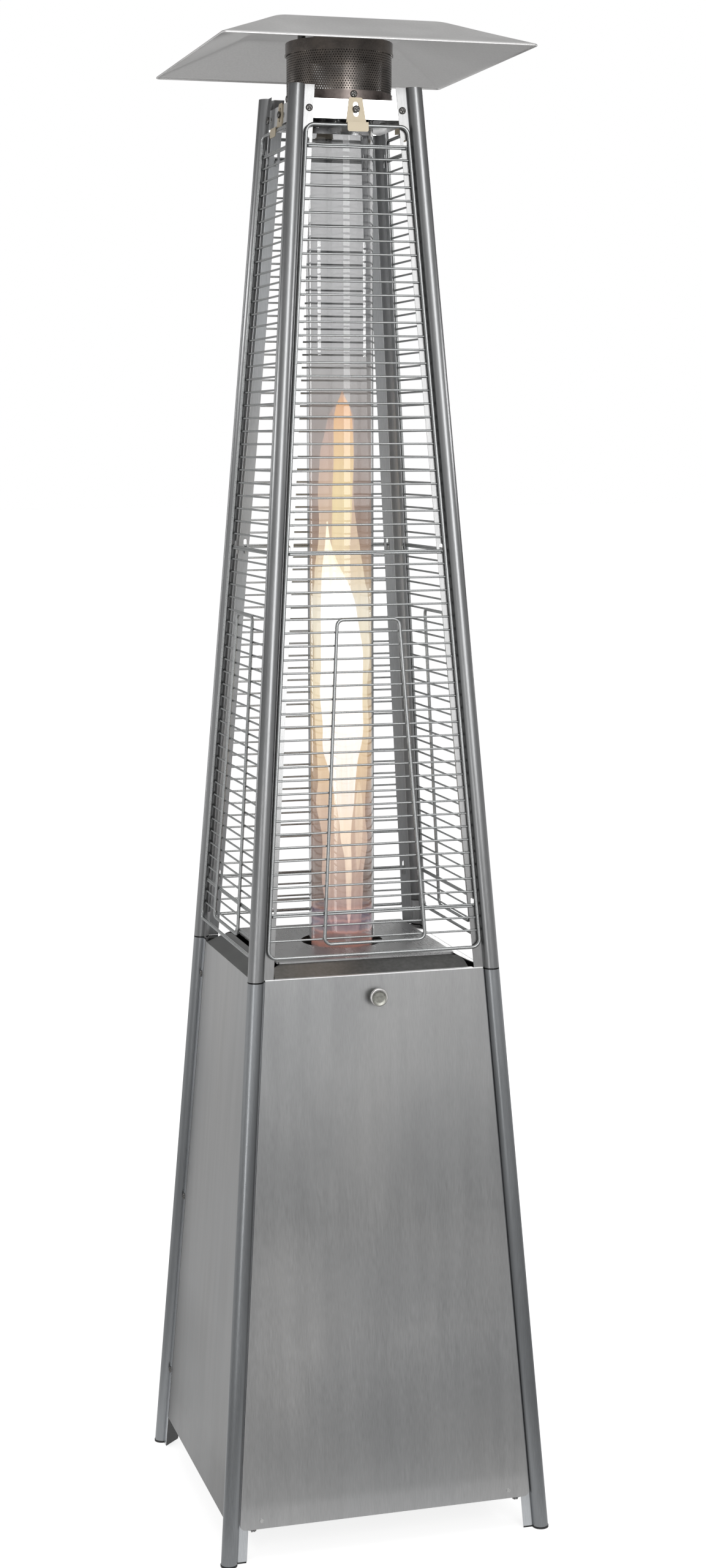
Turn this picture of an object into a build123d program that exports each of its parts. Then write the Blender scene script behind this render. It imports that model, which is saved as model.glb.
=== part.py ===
from build123d import *
import math
import os

os.makedirs("parts", exist_ok=True)

# Pyramid patio heater with a flame in a glass tube.
# The origin is on the floor under the middle of the four feet. +Z is up, the door faces -Y.

# The tapered frame: four corner posts lean in by the same slope
base_half = 244.0  # middle of a post's round nose, from the axis, at the floor
slope = 0.0725  # how far each face leans in for a rise of 1
joint_z = 861.0  # where the upper posts stand on the lower ones
post_top_z = 2151.0
nose_radius = 12.0  # the rolled outer corner of a post
flange_reach = nose_radius + 15.0  # from the nose's middle to a flange's free edge
sheet = 1.0  # post and panel sheet
joint_gap = 0.6
slip = 0.3  # clearance between pieces that only lie against each other
skin_gap = 0.1  # between sheets that are screwed face to face
running = 0.05  # radial clearance of pins and spindles

# Feet
foot_height = 48.0
foot_lip = 3.0
foot_overhang = 0.6
splice_half_length = 40.0
splice_gap = 0.2
splice_wall = 1.5

# Lower cabinet
panel_bottom_z = 50.0
panel_top_z = joint_z - 4.0
panel_sheet = 0.9
panel_corner_gap = nose_radius - 0.5  # panel edge to the nose's middle
screw_inset = nose_radius + 8.5  # screws and guard slots, from the nose's middle
panel_screw_z = (132.0, joint_z / 2, joint_z - 58.0)
base_plate_z = 56.0
base_plate_sheet = 1.5
base_rim = 20.0
base_front_setback = 16.0

# Door, hinged along its bottom edge
door_bottom_z = 50.0
door_top_z = joint_z + 2.0
door_sheet = 1.2
door_gap = 1.2  # door sheet to the front flanges
door_edge_gap = nose_radius + 1.8  # door edge to the nose's middle
door_corner_radius = 9.0
door_return = 9.0
return_gap = 1.5  # door returns to the flanges' edges
door_return_bottom_z = 80.0
door_return_top_z = joint_z - 43.0
door_pin_z = 49.4
door_pin_radius = 2.0
door_pin_depth = 3.3  # pin axis behind the flange's outer face
door_ear_radius = 4.5
door_ear_sheet = 2.0
door_ear_inset = 10.4  # inner face of the door's ear, from a flange's free edge
door_ear_height = 22.0
door_ear_foot = 24.0
ear_gap = 1.5  # door ear to the fixed ear
bracket_sheet = 1.5
bracket_foot_z = 52.0
bracket_foot_reach = 15.0
pin_head_radius = 3.4
pin_head = 1.5
pin_end = 3.5  # pin beyond the fixed ear
rivet_inset = 10.0  # rivet to the door's ear
rivet_z = 62.0
rivet_radius = 2.4
rivet_head_radius = 3.0
rivet_head = 0.8
door_knob_z = joint_z - 31.0
door_knob_radius = 13.5
door_knob_neck = 7.0
door_knob_disc = 5.0
door_knob_length = 19.0
door_knob_edge = 0.8
magnet_x = 60.0
magnet_width = 24.0
magnet_height = 15.0
magnet_depth = 15.0

# Burner deck with its sloping skirt
deck_z = joint_z + 18.0
deck_inset = 44.1  # deck edge, from the middle of the noses at the joint
deck_sheet = 1.0
deck_lip = 3.0
deck_hole_gap = 13.0  # glass to the deck's hole
deck_corner_radius = 4.0
frame_band_z = joint_z - 23.0
frame_band_top_z = panel_top_z
frame_sheet = 1.2
frame_ledge_inset = 26.6  # these three also count from the noses at the joint
skirt_bottom_inset = 31.6
skirt_top_inset = 40.6
frame_corner_gap = 1.5  # open corners of the band to the noses
skirt_corner_radius = 22.0
skirt_side_gap = 6.5  # open slot between the deck and the side skirts
ledge_width = 14.0

# Glass tube and burner
glass_radius = 50.0
glass_wall = 3.0
glass_top_gap = 11.0  # glass to the top plate
glass_bottom_z = joint_z + 2.0
seat_thickness = 3.0
seat_lip = 5.0
seat_clearance = 0.4
pan_gap = 18.0  # glass to the pan's wall
pan_sheet = 1.2
pan_floor_z = joint_z - 39.0
carrier_gap = 0.3
mouth_step = 6.0  # the carrier's and the top plate's mouths are this much inside the glass
burner_inset = 12.0  # burner to the glass's outside
burner_height = 27.0
burner_wall = 1.5
burner_port_radius = 2.0
burner_port_rings = 4
venturi_radius = 12.0
venturi_wall = 2.0
venturi_bottom_z = joint_z - 85.0
venturi_flange_radius = 20.0
venturi_flange = 1.8
orifice_radius = 8.0
orifice_top_z = joint_z - 89.0
orifice_jet_radius = 1.0
probe_gap = 2.0  # electrode and thermocouple, outside the glass's radius
probe_angle = 30.0
ceramic_radius = 3.0
ceramic_drop = 12.0
ceramic_top = 22.0
ceramic_collar = 2.0
ceramic_collar_height = 3.0
electrode_radius = 1.0
thermocouple_radius = 1.8
probe_top_z = joint_z - 6.0

# Control box and gas valve
box_inset = 31.6  # box walls, from the middle of the noses at the joint
box_rear_y = 60.0
box_bottom_z = joint_z - 116.0
box_sheet = 1.2
box_flange = 12.0
control_x = 50.0  # gas knob at -x, igniter at +x
control_z = joint_z - 66.0
valve_width = 36.0
valve_depth = 40.0
valve_height = 44.0
valve_edge = 4.0
valve_gap = 10.0  # valve body to the box's front
valve_boss = 5.0  # boss wall round the guide
guide_radius = 6.0
guide_length = 14.0
spindle_radius = 4.0
spindle_length = 30.0
knob_radius = 19.0
knob_depth = 13.0
knob_gap = 6.5  # knob skirt to the box, room for its push travel
knob_wall = 2.0
knob_boss_wall = 3.0
knob_grip = 6.0
knob_grip_height = 3.0
knob_taper = 4.0
push_travel = 4.0
stroke_spare = 2.0  # room left behind a pushed piece
inlet_radius = 5.0
inlet_hex = 2.5  # the inlet's hexagon, beyond its stem
inlet_shoulder = 0.8  # the stem inside the box is this much thicker
inlet_clearance = 2.0
inlet_length = 12.0
pipe_radius = 4.0
pipe_bend = 12.0
pipe_lift = 6.0  # pipe above the box's floor
igniter_radius = 9.0
igniter_length = 42.0
button_radius = 7.0
button_travel = 5.0
button_guide = 10.0  # length of the button that stays in the igniter
button_stand = 2.0  # the pressed button still stands this much out of the box
button_edge = 1.0
tilt_width = 18.0
tilt_depth = 34.0
tilt_height = 26.0
tilt_y = -30.0
tilt_drop = 15.0
tilt_edge = 2.0

# Top frame, flame screen and cap
top_plate_z = post_top_z - 20.0
top_plate_sheet = 1.0
apron_height = 27.0
top_screw_z = post_top_z - 33.0
collar_height = 18.0
collar_wall = 2.0
collar_clearance = 0.6
screen_inset = 10.45  # screen to the middle of the noses at the posts' tops
screen_wall = 1.0
screen_top_z = post_top_z + 70.0
band_height = 15.0
band_sheet = 0.8
band_flange = 3.3
band_screw_z = post_top_z - 10.0
cap_gap = 0.6  # cap's skirt to the screen
cap_height = 18.0
cap_sheet = 1.0
cap_bead = 1.0
cap_bead_height = 2.0

# Reflector
reflector_rim_half = 229.0
reflector_flat_half = 120.0
reflector_rim_z = post_top_z + 47.0
reflector_top_z = post_top_z + 91.0
reflector_sheet = 1.0
reflector_hem = 3.0
reflector_tip_radius = 6.0
stud_spread = 45.0
stud_radius = 3.0
stud_collar_radius = 6.0
nut_height = 5.0
nut_flat_radius = 5.5
stud_tip = 1.0  # stud beyond its nut

# Wire guards
guard_top_z = post_top_z - 57.0
guard_bottom_z = joint_z + 33.0
guard_inset = nose_radius + 4.2  # frame wire to the nose's middle
guard_frame_radius = 2.5
guard_corner_radius = 12.0
rung_radius = 1.5
rung_pitch = 19.45
first_rung_z = guard_top_z - 27.6
weld_sink = 0.3
hook_radius = 1.75
hook_tail = 9.0
hook_bend = 1.8
slot_width = 5.0
slot_height = 15.0
loop_bottom_z = guard_bottom_z + 17.0
loop_height = 473.0
loop_top_half = 47.2
loop_bottom_half = 77.5
loop_corner_radius = 10.0

# Clips that hold the guards' top wires
clip_sheet = 1.2
clip_top_z = post_top_z - 16.4
clip_top_half = 10.0
clip_corner_radius = 3.0
clip_shelf_half = 15.3
clip_lip_half = 15.8
clip_lip_out = 9.5  # outer face of the lip, from the face of the posts
clip_lip_bottom_z = post_top_z - 66.4
clip_slot_width = 8.0
clip_slot_height = 21.0

# Pan-head screws
screw_head_radius = 5.2
screw_head_height = 2.6
screw_head_taper = 20.0
screw_shank_radius = 2.4
screw_shank_length = 7.0
screw_hole_radius = 2.6

# Values that follow from the sizes above
lean = math.degrees(math.atan(slope))
rise = 1.0 / math.cos(math.radians(lean))  # length along a face for a height of 1
axis_rise = math.sqrt(1.0 + 2.0 * slope * slope)  # length along a post for a height of 1
side_names = ("front", "right", "rear", "left")
corner_names = ("front_left", "front_right", "rear_right", "rear_left")
door_side = 0


def half_at(z):
    # distance from the axis to a face's plane at this height
    return base_half - slope * z


joint_half = half_at(joint_z)
deck_half = joint_half - deck_inset
frame_ledge_half = joint_half - frame_ledge_inset
skirt_bottom_half = joint_half - skirt_bottom_inset
skirt_top_half = joint_half - skirt_top_inset
door_ear_x = half_at(door_pin_z) - flange_reach - door_ear_inset
rivet_x = door_ear_x - rivet_inset
box_half_width = joint_half - box_inset
box_front_y = -box_half_width
valve_front_y = box_front_y + valve_gap
glass_length = top_plate_z - glass_top_gap - glass_bottom_z
mouth_radius = glass_radius - mouth_step
deck_hole_radius = glass_radius + deck_hole_gap
pan_radius = glass_radius + pan_gap
burner_radius = glass_radius - burner_inset
probe_circle = glass_radius + probe_gap
screen_radius = half_at(post_top_z) - screen_inset
cap_radius = screen_radius + cap_gap + cap_sheet
hook_drop = rung_radius + hook_radius - weld_sink  # hook wire below its rung
rung_count = int((first_rung_z - guard_bottom_z) / rung_pitch)
hook_rungs = (0, rung_count // 2, rung_count - 3)


def turned(x, y, side):
    angle = math.radians(90.0 * side)
    return (x * math.cos(angle) - y * math.sin(angle), x * math.sin(angle) + y * math.cos(angle))


def face_plane(side, out=0.0):
    # local x runs along the face, local y up its slope, z out of it, and out shifts it outwards
    x_x, x_y = turned(1.0, 0.0, side)
    n_x, n_y = turned(0.0, -math.cos(math.radians(lean)), side)
    o_x, o_y = turned(0.0, -base_half, side)
    plane = Plane(origin=(o_x, o_y, 0), x_dir=(x_x, x_y, 0), z_dir=(n_x, n_y, math.sin(math.radians(lean))))
    return plane.offset(out)


def corner_plane(corner, z):
    # at a post's nose, with its flanges along local +x and +y
    x, y = turned(-half_at(z), -half_at(z), corner)
    x_x, x_y = turned(1.0, 0.0, corner)
    return Plane(origin=(x, y, z), x_dir=(x_x, x_y, 0), z_dir=(0, 0, 1))


def post_direction(corner):
    x, y = turned(slope, slope, corner)
    return (x, y, 1.0)


def face_point(x, z):
    return (x, z * rise)


def flange_points(corner, heights):
    # the two flanges of a post as (side, local points) at the screw inset
    near = [face_point(-(half_at(z) - screw_inset), z) for z in heights]
    far = [face_point(half_at(z) - screw_inset, z) for z in heights]
    return ((corner, near), ((corner + 3) % 4, far))


def square_shell(z, height, half, wall):
    # a square ring whose walls lean in with the faces, added to the open part
    with BuildSketch(Plane.XY.offset(z)) as outside:
        Rectangle(2 * half, 2 * half)
    extrude(outside.sketch, amount=height, taper=lean)
    with BuildSketch(Plane.XY.offset(z)) as inside:
        Rectangle(2 * (half - wall), 2 * (half - wall))
    extrude(inside.sketch, amount=height, taper=lean, mode=Mode.SUBTRACT)


def finish(builder, name):
    builder.part.label = name
    export_step(builder.part, "parts/" + name + ".step")


# Posts: a rolled nose with two flanges, one in each face
def post_profile():
    Circle(nose_radius)
    Circle(nose_radius - sheet, mode=Mode.SUBTRACT)
    with Locations((nose_radius, nose_radius)):
        Rectangle(2 * nose_radius, 2 * nose_radius, mode=Mode.SUBTRACT)
    flange_start = nose_radius - sheet
    flange_middle = (flange_start + flange_reach) / 2
    flange_width = flange_reach - flange_start
    with Locations((flange_middle, sheet / 2)):
        Rectangle(flange_width, sheet)
    with Locations((sheet / 2, flange_middle)):
        Rectangle(sheet, flange_width)


for corner, corner_name in enumerate(corner_names):
    with BuildPart() as leg_post:
        with BuildSketch(corner_plane(corner, foot_lip)):
            post_profile()
        extrude(amount=(joint_z - foot_lip) * axis_rise, dir=post_direction(corner))
        for side, points in flange_points(corner, panel_screw_z):
            if side != door_side:
                with BuildSketch(face_plane(side)):
                    with Locations(*points):
                        Circle(screw_hole_radius)
                extrude(amount=2 * sheet, both=True, mode=Mode.SUBTRACT)
    finish(leg_post, "leg_post_" + corner_name)

    with BuildPart() as upper_post:
        upper_foot_z = joint_z + joint_gap
        with BuildSketch(corner_plane(corner, upper_foot_z)):
            post_profile()
        extrude(amount=(post_top_z - upper_foot_z) * axis_rise, dir=post_direction(corner))
        hook_heights = [first_rung_z - rung_pitch * rung - hook_drop for rung in hook_rungs]
        slot_heights = [z + slot_height / 2 - hook_radius - slip for z in hook_heights]
        for side, points in flange_points(corner, slot_heights):
            with BuildSketch(face_plane(side)):
                with Locations(*points):
                    SlotOverall(slot_height, slot_width, rotation=90)
            extrude(amount=2 * sheet, both=True, mode=Mode.SUBTRACT)
        for side, points in flange_points(corner, (top_screw_z,)):
            with BuildSketch(face_plane(side)):
                with Locations(*points):
                    Circle(screw_hole_radius)
            extrude(amount=2 * sheet, both=True, mode=Mode.SUBTRACT)
    finish(upper_post, "upper_post_" + corner_name)

    with BuildPart() as foot:
        plug_edge = sheet + slip
        plug_reach = flange_reach - slip
        with BuildSketch(corner_plane(corner, 0)):
            Circle(nose_radius - sheet - slip)
            with BuildLine():
                Polyline((plug_edge, plug_edge), (plug_reach, plug_edge), (plug_edge, plug_reach), close=True)
            make_face()
        extrude(amount=foot_height * axis_rise, dir=post_direction(corner))
        with BuildSketch(corner_plane(corner, 0)):
            Circle(nose_radius + foot_overhang)
        extrude(amount=foot_lip - slip)
    finish(foot, "foot_" + corner_name)

# Splice tubes inside the noses, half in each post
splice_radius = nose_radius - sheet - splice_gap
with BuildPart() as post_splices:
    for corner in range(4):
        with BuildSketch(corner_plane(corner, joint_z - splice_half_length)):
            Circle(splice_radius)
            Circle(splice_radius - splice_wall, mode=Mode.SUBTRACT)
        extrude(amount=2 * splice_half_length * axis_rise, dir=post_direction(corner))
finish(post_splices, "post_splices")

# Shelf that the gas cylinder stands on
shelf_half = half_at(base_plate_z + base_rim) - sheet - skin_gap - panel_sheet - slip
shelf_front = half_at(base_plate_z) - base_front_setback
with BuildPart() as base_plate:
    shelf_depth = shelf_half + shelf_front
    shelf_centre = (0, (shelf_half - shelf_front) / 2)
    with BuildSketch(Plane.XY.offset(base_plate_z)):
        with Locations(shelf_centre):
            RectangleRounded(2 * shelf_half, shelf_depth, base_front_setback / 2)
    extrude(amount=base_rim)
    with BuildSketch(Plane.XY.offset(base_plate_z + base_plate_sheet)):
        with Locations(shelf_centre):
            tray_width = 2 * (shelf_half - base_plate_sheet)
            tray_depth = shelf_depth - 2 * base_plate_sheet
            RectangleRounded(tray_width, tray_depth, base_front_setback / 2 - base_plate_sheet)
    extrude(amount=base_rim, mode=Mode.SUBTRACT)
finish(base_plate, "base_plate")


# Fixed panels behind the flanges on three sides
panel_face = -(sheet + skin_gap)
for side in (1, 2, 3):
    panel_name = side_names[side] + "_panel"
    with BuildPart() as panel:
        with BuildSketch(face_plane(side, panel_face)):
            with BuildLine():
                bottom_half = half_at(panel_bottom_z) - panel_corner_gap
                top_half = half_at(panel_top_z) - panel_corner_gap
                Polyline(
                    face_point(-bottom_half, panel_bottom_z),
                    face_point(bottom_half, panel_bottom_z),
                    face_point(top_half, panel_top_z),
                    face_point(-top_half, panel_top_z),
                    close=True,
                )
            make_face()
        extrude(amount=-panel_sheet)
        with BuildSketch(face_plane(side)):
            for z in panel_screw_z:
                reach = half_at(z) - screw_inset
                with Locations(face_point(-reach, z), face_point(reach, z)):
                    Circle(screw_hole_radius)
        extrude(amount=-4 * sheet, mode=Mode.SUBTRACT)
    finish(panel, panel_name)

# Door panel: a sheet in front of the flanges, with returns that stand between them
def door_half_at(z):
    return half_at(z) - door_edge_gap


def return_half_at(z):
    return half_at(z) - flange_reach - return_gap


with BuildPart() as door_panel:
    with BuildSketch(face_plane(door_side, door_gap)) as door_outline:
        with BuildLine():
            Polyline(
                face_point(-door_half_at(door_bottom_z), door_bottom_z),
                face_point(door_half_at(door_bottom_z), door_bottom_z),
                face_point(door_half_at(door_top_z), door_top_z),
                face_point(-door_half_at(door_top_z), door_top_z),
                close=True,
            )
        make_face()
        fillet(door_outline.vertices().group_by(Axis.Y)[0], door_corner_radius)
    extrude(amount=door_sheet)
    with BuildSketch(face_plane(door_side, door_gap)):
        with Locations(face_point(0, door_top_z - door_sheet / 2)):
            Rectangle(2 * return_half_at(door_top_z), door_sheet)
        with BuildLine():
            Polyline(
                face_point(-return_half_at(door_return_bottom_z), door_return_bottom_z),
                face_point(return_half_at(door_return_bottom_z), door_return_bottom_z),
                face_point(return_half_at(door_return_top_z), door_return_top_z),
                face_point(-return_half_at(door_return_top_z), door_return_top_z),
                close=True,
            )
        make_face()
        inner_low_half = return_half_at(door_return_bottom_z) - door_sheet
        inner_high_half = return_half_at(door_return_top_z) - door_sheet
        with BuildLine():
            Polyline(
                face_point(-inner_low_half, door_return_bottom_z + door_sheet),
                face_point(inner_low_half, door_return_bottom_z + door_sheet),
                face_point(inner_high_half, door_return_top_z - door_sheet),
                face_point(-inner_high_half, door_return_top_z - door_sheet),
                close=True,
            )
        make_face(mode=Mode.SUBTRACT)
    extrude(amount=-door_return)
    with BuildSketch(face_plane(door_side)):
        with Locations(face_point(0, door_knob_z)):
            Circle(screw_hole_radius)
        with Locations(face_point(-rivet_x, rivet_z), face_point(rivet_x, rivet_z)):
            Circle(rivet_radius + running)
    extrude(amount=4 * door_sheet, mode=Mode.SUBTRACT)
finish(door_panel, "door_panel")

# Round pull knob and the screw that holds it through the door
door_face = door_gap + door_sheet
with BuildPart() as door_knob:
    with BuildSketch(face_plane(door_side, door_face)):
        with Locations(face_point(0, door_knob_z)):
            Circle(door_knob_neck)
    extrude(amount=door_knob_length - door_knob_disc)
    with BuildSketch(face_plane(door_side, door_face + door_knob_length - door_knob_disc)):
        with Locations(face_point(0, door_knob_z)):
            Circle(door_knob_radius)
    extrude(amount=door_knob_disc)
    chamfer(door_knob.edges().filter_by(GeomType.CIRCLE).sort_by(Axis.Y)[:1], door_knob_edge)
    with BuildSketch(face_plane(door_side, door_face)):
        with Locations(face_point(0, door_knob_z)):
            Circle(screw_shank_radius + running)
    extrude(amount=door_knob_length / 2, mode=Mode.SUBTRACT)
finish(door_knob, "door_knob")

with BuildPart() as door_knob_screw:
    with BuildSketch(face_plane(door_side, door_gap)):
        with Locations(face_point(0, door_knob_z)):
            Circle(screw_head_radius)
    extrude(amount=-screw_head_height)
    with BuildSketch(face_plane(door_side, door_gap)):
        with Locations(face_point(0, door_knob_z)):
            Circle(screw_shank_radius)
    extrude(amount=door_sheet + door_knob_length / 2 - slip)
finish(door_knob_screw, "door_knob_screw")


# Hinge along the door's bottom edge: an ear on the door, a fixed ear behind each flange and a pin
def across_plane(x):
    # stands across the hinge pin at this x: local x points out of the door's face, local y up it
    pin_face = face_plane(door_side)
    origin = pin_face.from_local_coords(Vector(x, door_pin_z * rise, -door_pin_depth))
    return Plane(origin=origin, x_dir=pin_face.z_dir, z_dir=(-1, 0, 0))


def low_x(hand, inner, width):
    # the lower x of a slab that starts at the distance inner on the left (-1) or right (1)
    return inner if hand > 0 else -(inner + width)


door_back = door_pin_depth + door_gap  # door sheet's back face, out from the pin's axis
flange_back = door_pin_depth - sheet  # the flange's back face, out from the pin's axis
bracket_ear_x = door_ear_x + door_ear_sheet + ear_gap
with BuildPart() as door_hinge_ears:
    for hand in (-1, 1):
        with BuildSketch(across_plane(low_x(hand, door_ear_x, door_ear_sheet))):
            Circle(door_ear_radius)
            with Locations(((door_back - door_pin_radius) / 2, door_ear_height / 2)):
                Rectangle(door_back + door_pin_radius, door_ear_height)
        extrude(amount=-door_ear_sheet)
        foot_low = low_x(hand, door_ear_x + door_ear_sheet - door_ear_foot, door_ear_foot)
        with BuildSketch(face_plane(door_side, door_gap)):
            with Locations((foot_low + door_ear_foot / 2, (door_pin_z + door_ear_height / 2) * rise)):
                Rectangle(door_ear_foot, door_ear_height / 2)
        extrude(amount=-bracket_sheet)
        with BuildSketch(face_plane(door_side, door_gap)):
            with Locations(face_point(hand * rivet_x, rivet_z)):
                Circle(rivet_radius + running)
        extrude(amount=-2 * bracket_sheet, mode=Mode.SUBTRACT)
        with BuildSketch(across_plane(low_x(hand, door_ear_x, door_ear_sheet))):
            Circle(door_pin_radius + running)
        extrude(amount=-door_ear_sheet, mode=Mode.SUBTRACT)
finish(door_hinge_ears, "door_hinge_ears")

with BuildPart() as door_ear_rivets:
    for hand in (-1, 1):
        rivet_point = face_point(hand * rivet_x, rivet_z)
        with BuildSketch(face_plane(door_side, door_gap - bracket_sheet - rivet_head)):
            with Locations(rivet_point):
                Circle(rivet_head_radius)
        extrude(amount=rivet_head)
        with BuildSketch(face_plane(door_side, door_gap - bracket_sheet)):
            with Locations(rivet_point):
                Circle(rivet_radius)
        extrude(amount=bracket_sheet + door_sheet)
        with BuildSketch(face_plane(door_side, door_face)):
            with Locations(rivet_point):
                Circle(rivet_head_radius)
        extrude(amount=rivet_head)
finish(door_ear_rivets, "door_ear_rivets")

with BuildPart() as door_hinge_brackets:
    for hand in (-1, 1):
        with BuildSketch(across_plane(low_x(hand, bracket_ear_x, door_ear_sheet))):
            Circle(door_ear_radius)
            with Locations(((flange_back - door_ear_radius) / 2, door_ear_height / 2)):
                Rectangle(flange_back + door_ear_radius, door_ear_height)
        extrude(amount=-door_ear_sheet)
        foot_low = low_x(hand, bracket_ear_x, bracket_foot_reach)
        foot_top = door_pin_z + door_ear_height / rise
        with BuildSketch(face_plane(door_side, -sheet)):
            with Locations(face_point(foot_low + bracket_foot_reach / 2, (foot_top + bracket_foot_z) / 2)):
                Rectangle(bracket_foot_reach, (foot_top - bracket_foot_z) * rise)
        extrude(amount=-bracket_sheet)
        with BuildSketch(across_plane(low_x(hand, bracket_ear_x, door_ear_sheet))):
            Circle(door_pin_radius + running / 2)
        extrude(amount=-door_ear_sheet, mode=Mode.SUBTRACT)
finish(door_hinge_brackets, "door_hinge_brackets")

pin_head_x = door_ear_x - slip - pin_head
with BuildPart() as door_hinge_pins:
    for hand in (-1, 1):
        with BuildSketch(across_plane(low_x(hand, pin_head_x, pin_head))):
            Circle(pin_head_radius)
        extrude(amount=-pin_head)
        pin_length = bracket_ear_x + door_ear_sheet + pin_end - pin_head_x
        with BuildSketch(across_plane(low_x(hand, pin_head_x, pin_length))):
            Circle(door_pin_radius)
        extrude(amount=-pin_length)
finish(door_hinge_pins, "door_hinge_pins")

# Deck frame: a leaning band behind the panels, a bottom flange and four sloping skirts
band_out = half_at(frame_band_z) - sheet - skin_gap - panel_sheet - slip
band_top = half_at(frame_band_top_z) - sheet - skin_gap - panel_sheet - slip
skirt_top_z = deck_z - deck_lip
skirt_run = band_top - deck_half
skirt_rise = skirt_top_z - frame_band_top_z
skirt_length = math.hypot(skirt_run, skirt_rise)


def skirt_plane(side):
    # lies on the skirt's upper face, origin at the middle of its bottom edge, local y up the skirt
    o_x, o_y = turned(0.0, -band_top, side)
    x_x, x_y = turned(1.0, 0.0, side)
    n_x, n_y = turned(0.0, -skirt_rise, side)
    return Plane(origin=(o_x, o_y, frame_band_top_z), x_dir=(x_x, x_y, 0), z_dir=(n_x, n_y, skirt_run))


with BuildPart() as deck_frame:
    square_shell(frame_band_z, frame_band_top_z - frame_band_z, band_out, frame_sheet)
    with BuildSketch(Plane.XY.offset(frame_band_z)):
        Rectangle(2 * band_out - frame_sheet, 2 * band_out - frame_sheet)
        Rectangle(2 * frame_ledge_half, 2 * frame_ledge_half, mode=Mode.SUBTRACT)
    extrude(amount=frame_sheet)
    for side in range(4):
        open_slot = skirt_side_gap if side in (1, 3) else 0.0
        length = skirt_length - open_slot * skirt_length / skirt_run
        with BuildSketch(skirt_plane(side)) as skirt_outline:
            with BuildLine():
                Polyline(
                    (-skirt_bottom_half, 0),
                    (skirt_bottom_half, 0),
                    (skirt_bottom_half - (skirt_bottom_half - skirt_top_half) / 4, length),
                    (-skirt_bottom_half + (skirt_bottom_half - skirt_top_half) / 4, length),
                    close=True,
                )
            make_face()
            fillet(skirt_outline.vertices().group_by(Axis.Y)[-1], skirt_corner_radius)
        extrude(amount=-frame_sheet)
        if side in (0, 2):
            x, y = turned(0.0, -(deck_half - ledge_width / 2), side)
            with BuildSketch(Plane.XY.offset(skirt_top_z - frame_sheet)):
                with Locations((x, y)):
                    Rectangle(2 * (skirt_top_half - skirt_corner_radius), ledge_width)
            extrude(amount=frame_sheet)
    for corner in range(4):
        with BuildSketch(corner_plane(corner, frame_band_z)):
            Rectangle(2 * (nose_radius + frame_corner_gap), 2 * (nose_radius + frame_corner_gap))
        extrude(amount=(deck_z - frame_band_z) * axis_rise, dir=post_direction(corner), mode=Mode.SUBTRACT)
finish(deck_frame, "deck_frame")

# Flat deck with a turned-down lip and the round hole for the glass tube
with BuildPart() as burner_deck:
    with BuildSketch(Plane.XY.offset(deck_z - deck_lip)):
        RectangleRounded(2 * deck_half, 2 * deck_half, deck_corner_radius)
    extrude(amount=deck_lip)
    with BuildSketch(Plane.XY.offset(deck_z - deck_lip)):
        inside = 2 * (deck_half - deck_sheet)
        RectangleRounded(inside, inside, deck_corner_radius - deck_sheet)
    extrude(amount=deck_lip - deck_sheet, mode=Mode.SUBTRACT)
    with BuildSketch(Plane.XY.offset(deck_z - deck_lip)):
        Circle(deck_hole_radius)
    extrude(amount=deck_lip, mode=Mode.SUBTRACT)
finish(burner_deck, "burner_deck")

# Pan under the deck, with the carrier and seat ring that the glass tube stands on
pan_top_z = deck_z - deck_sheet
with BuildPart() as burner_pan:
    with BuildSketch(Plane.XY.offset(pan_floor_z)):
        Circle(pan_radius)
    extrude(amount=pan_top_z - pan_floor_z)
    with BuildSketch(Plane.XY.offset(pan_floor_z + pan_sheet)):
        Circle(pan_radius - pan_sheet)
    extrude(amount=pan_top_z - pan_floor_z, mode=Mode.SUBTRACT)
    with BuildSketch(Plane.XY.offset(pan_floor_z)):
        Circle(venturi_radius + slip)
        for angle in (-probe_angle, probe_angle):
            with PolarLocations(probe_circle, 1, start_angle=angle):
                Circle(ceramic_radius + slip)
    extrude(amount=pan_sheet, mode=Mode.SUBTRACT)
finish(burner_pan, "burner_pan")

carrier_radius = pan_radius - pan_sheet - carrier_gap
carrier_foot_z = pan_floor_z + pan_sheet
seat_z = glass_bottom_z - seat_thickness
with BuildPart() as glass_carrier:
    with BuildSketch(Plane.XY.offset(carrier_foot_z)):
        Circle(carrier_radius)
        Circle(carrier_radius - pan_sheet, mode=Mode.SUBTRACT)
    extrude(amount=seat_z - carrier_foot_z)
    with BuildSketch(Plane.XY.offset(seat_z - pan_sheet)):
        Circle(carrier_radius)
        Circle(mouth_radius, mode=Mode.SUBTRACT)
    extrude(amount=pan_sheet)
finish(glass_carrier, "glass_carrier")

glass_inner = glass_radius - glass_wall
with BuildPart() as glass_seat_ring:
    with BuildSketch(Plane.XY.offset(seat_z)):
        Circle(glass_radius + seat_clearance + seat_thickness)
        Circle(glass_inner, mode=Mode.SUBTRACT)
    extrude(amount=seat_thickness + seat_lip)
    with BuildSketch(Plane.XY.offset(glass_bottom_z)):
        Circle(glass_radius + seat_clearance)
    extrude(amount=seat_lip, mode=Mode.SUBTRACT)
finish(glass_seat_ring, "glass_seat_ring")

with BuildPart() as glass_tube:
    with BuildSketch(Plane.XY.offset(glass_bottom_z)):
        Circle(glass_radius)
        Circle(glass_inner, mode=Mode.SUBTRACT)
    extrude(amount=glass_length)
finish(glass_tube, "glass_tube")

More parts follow.
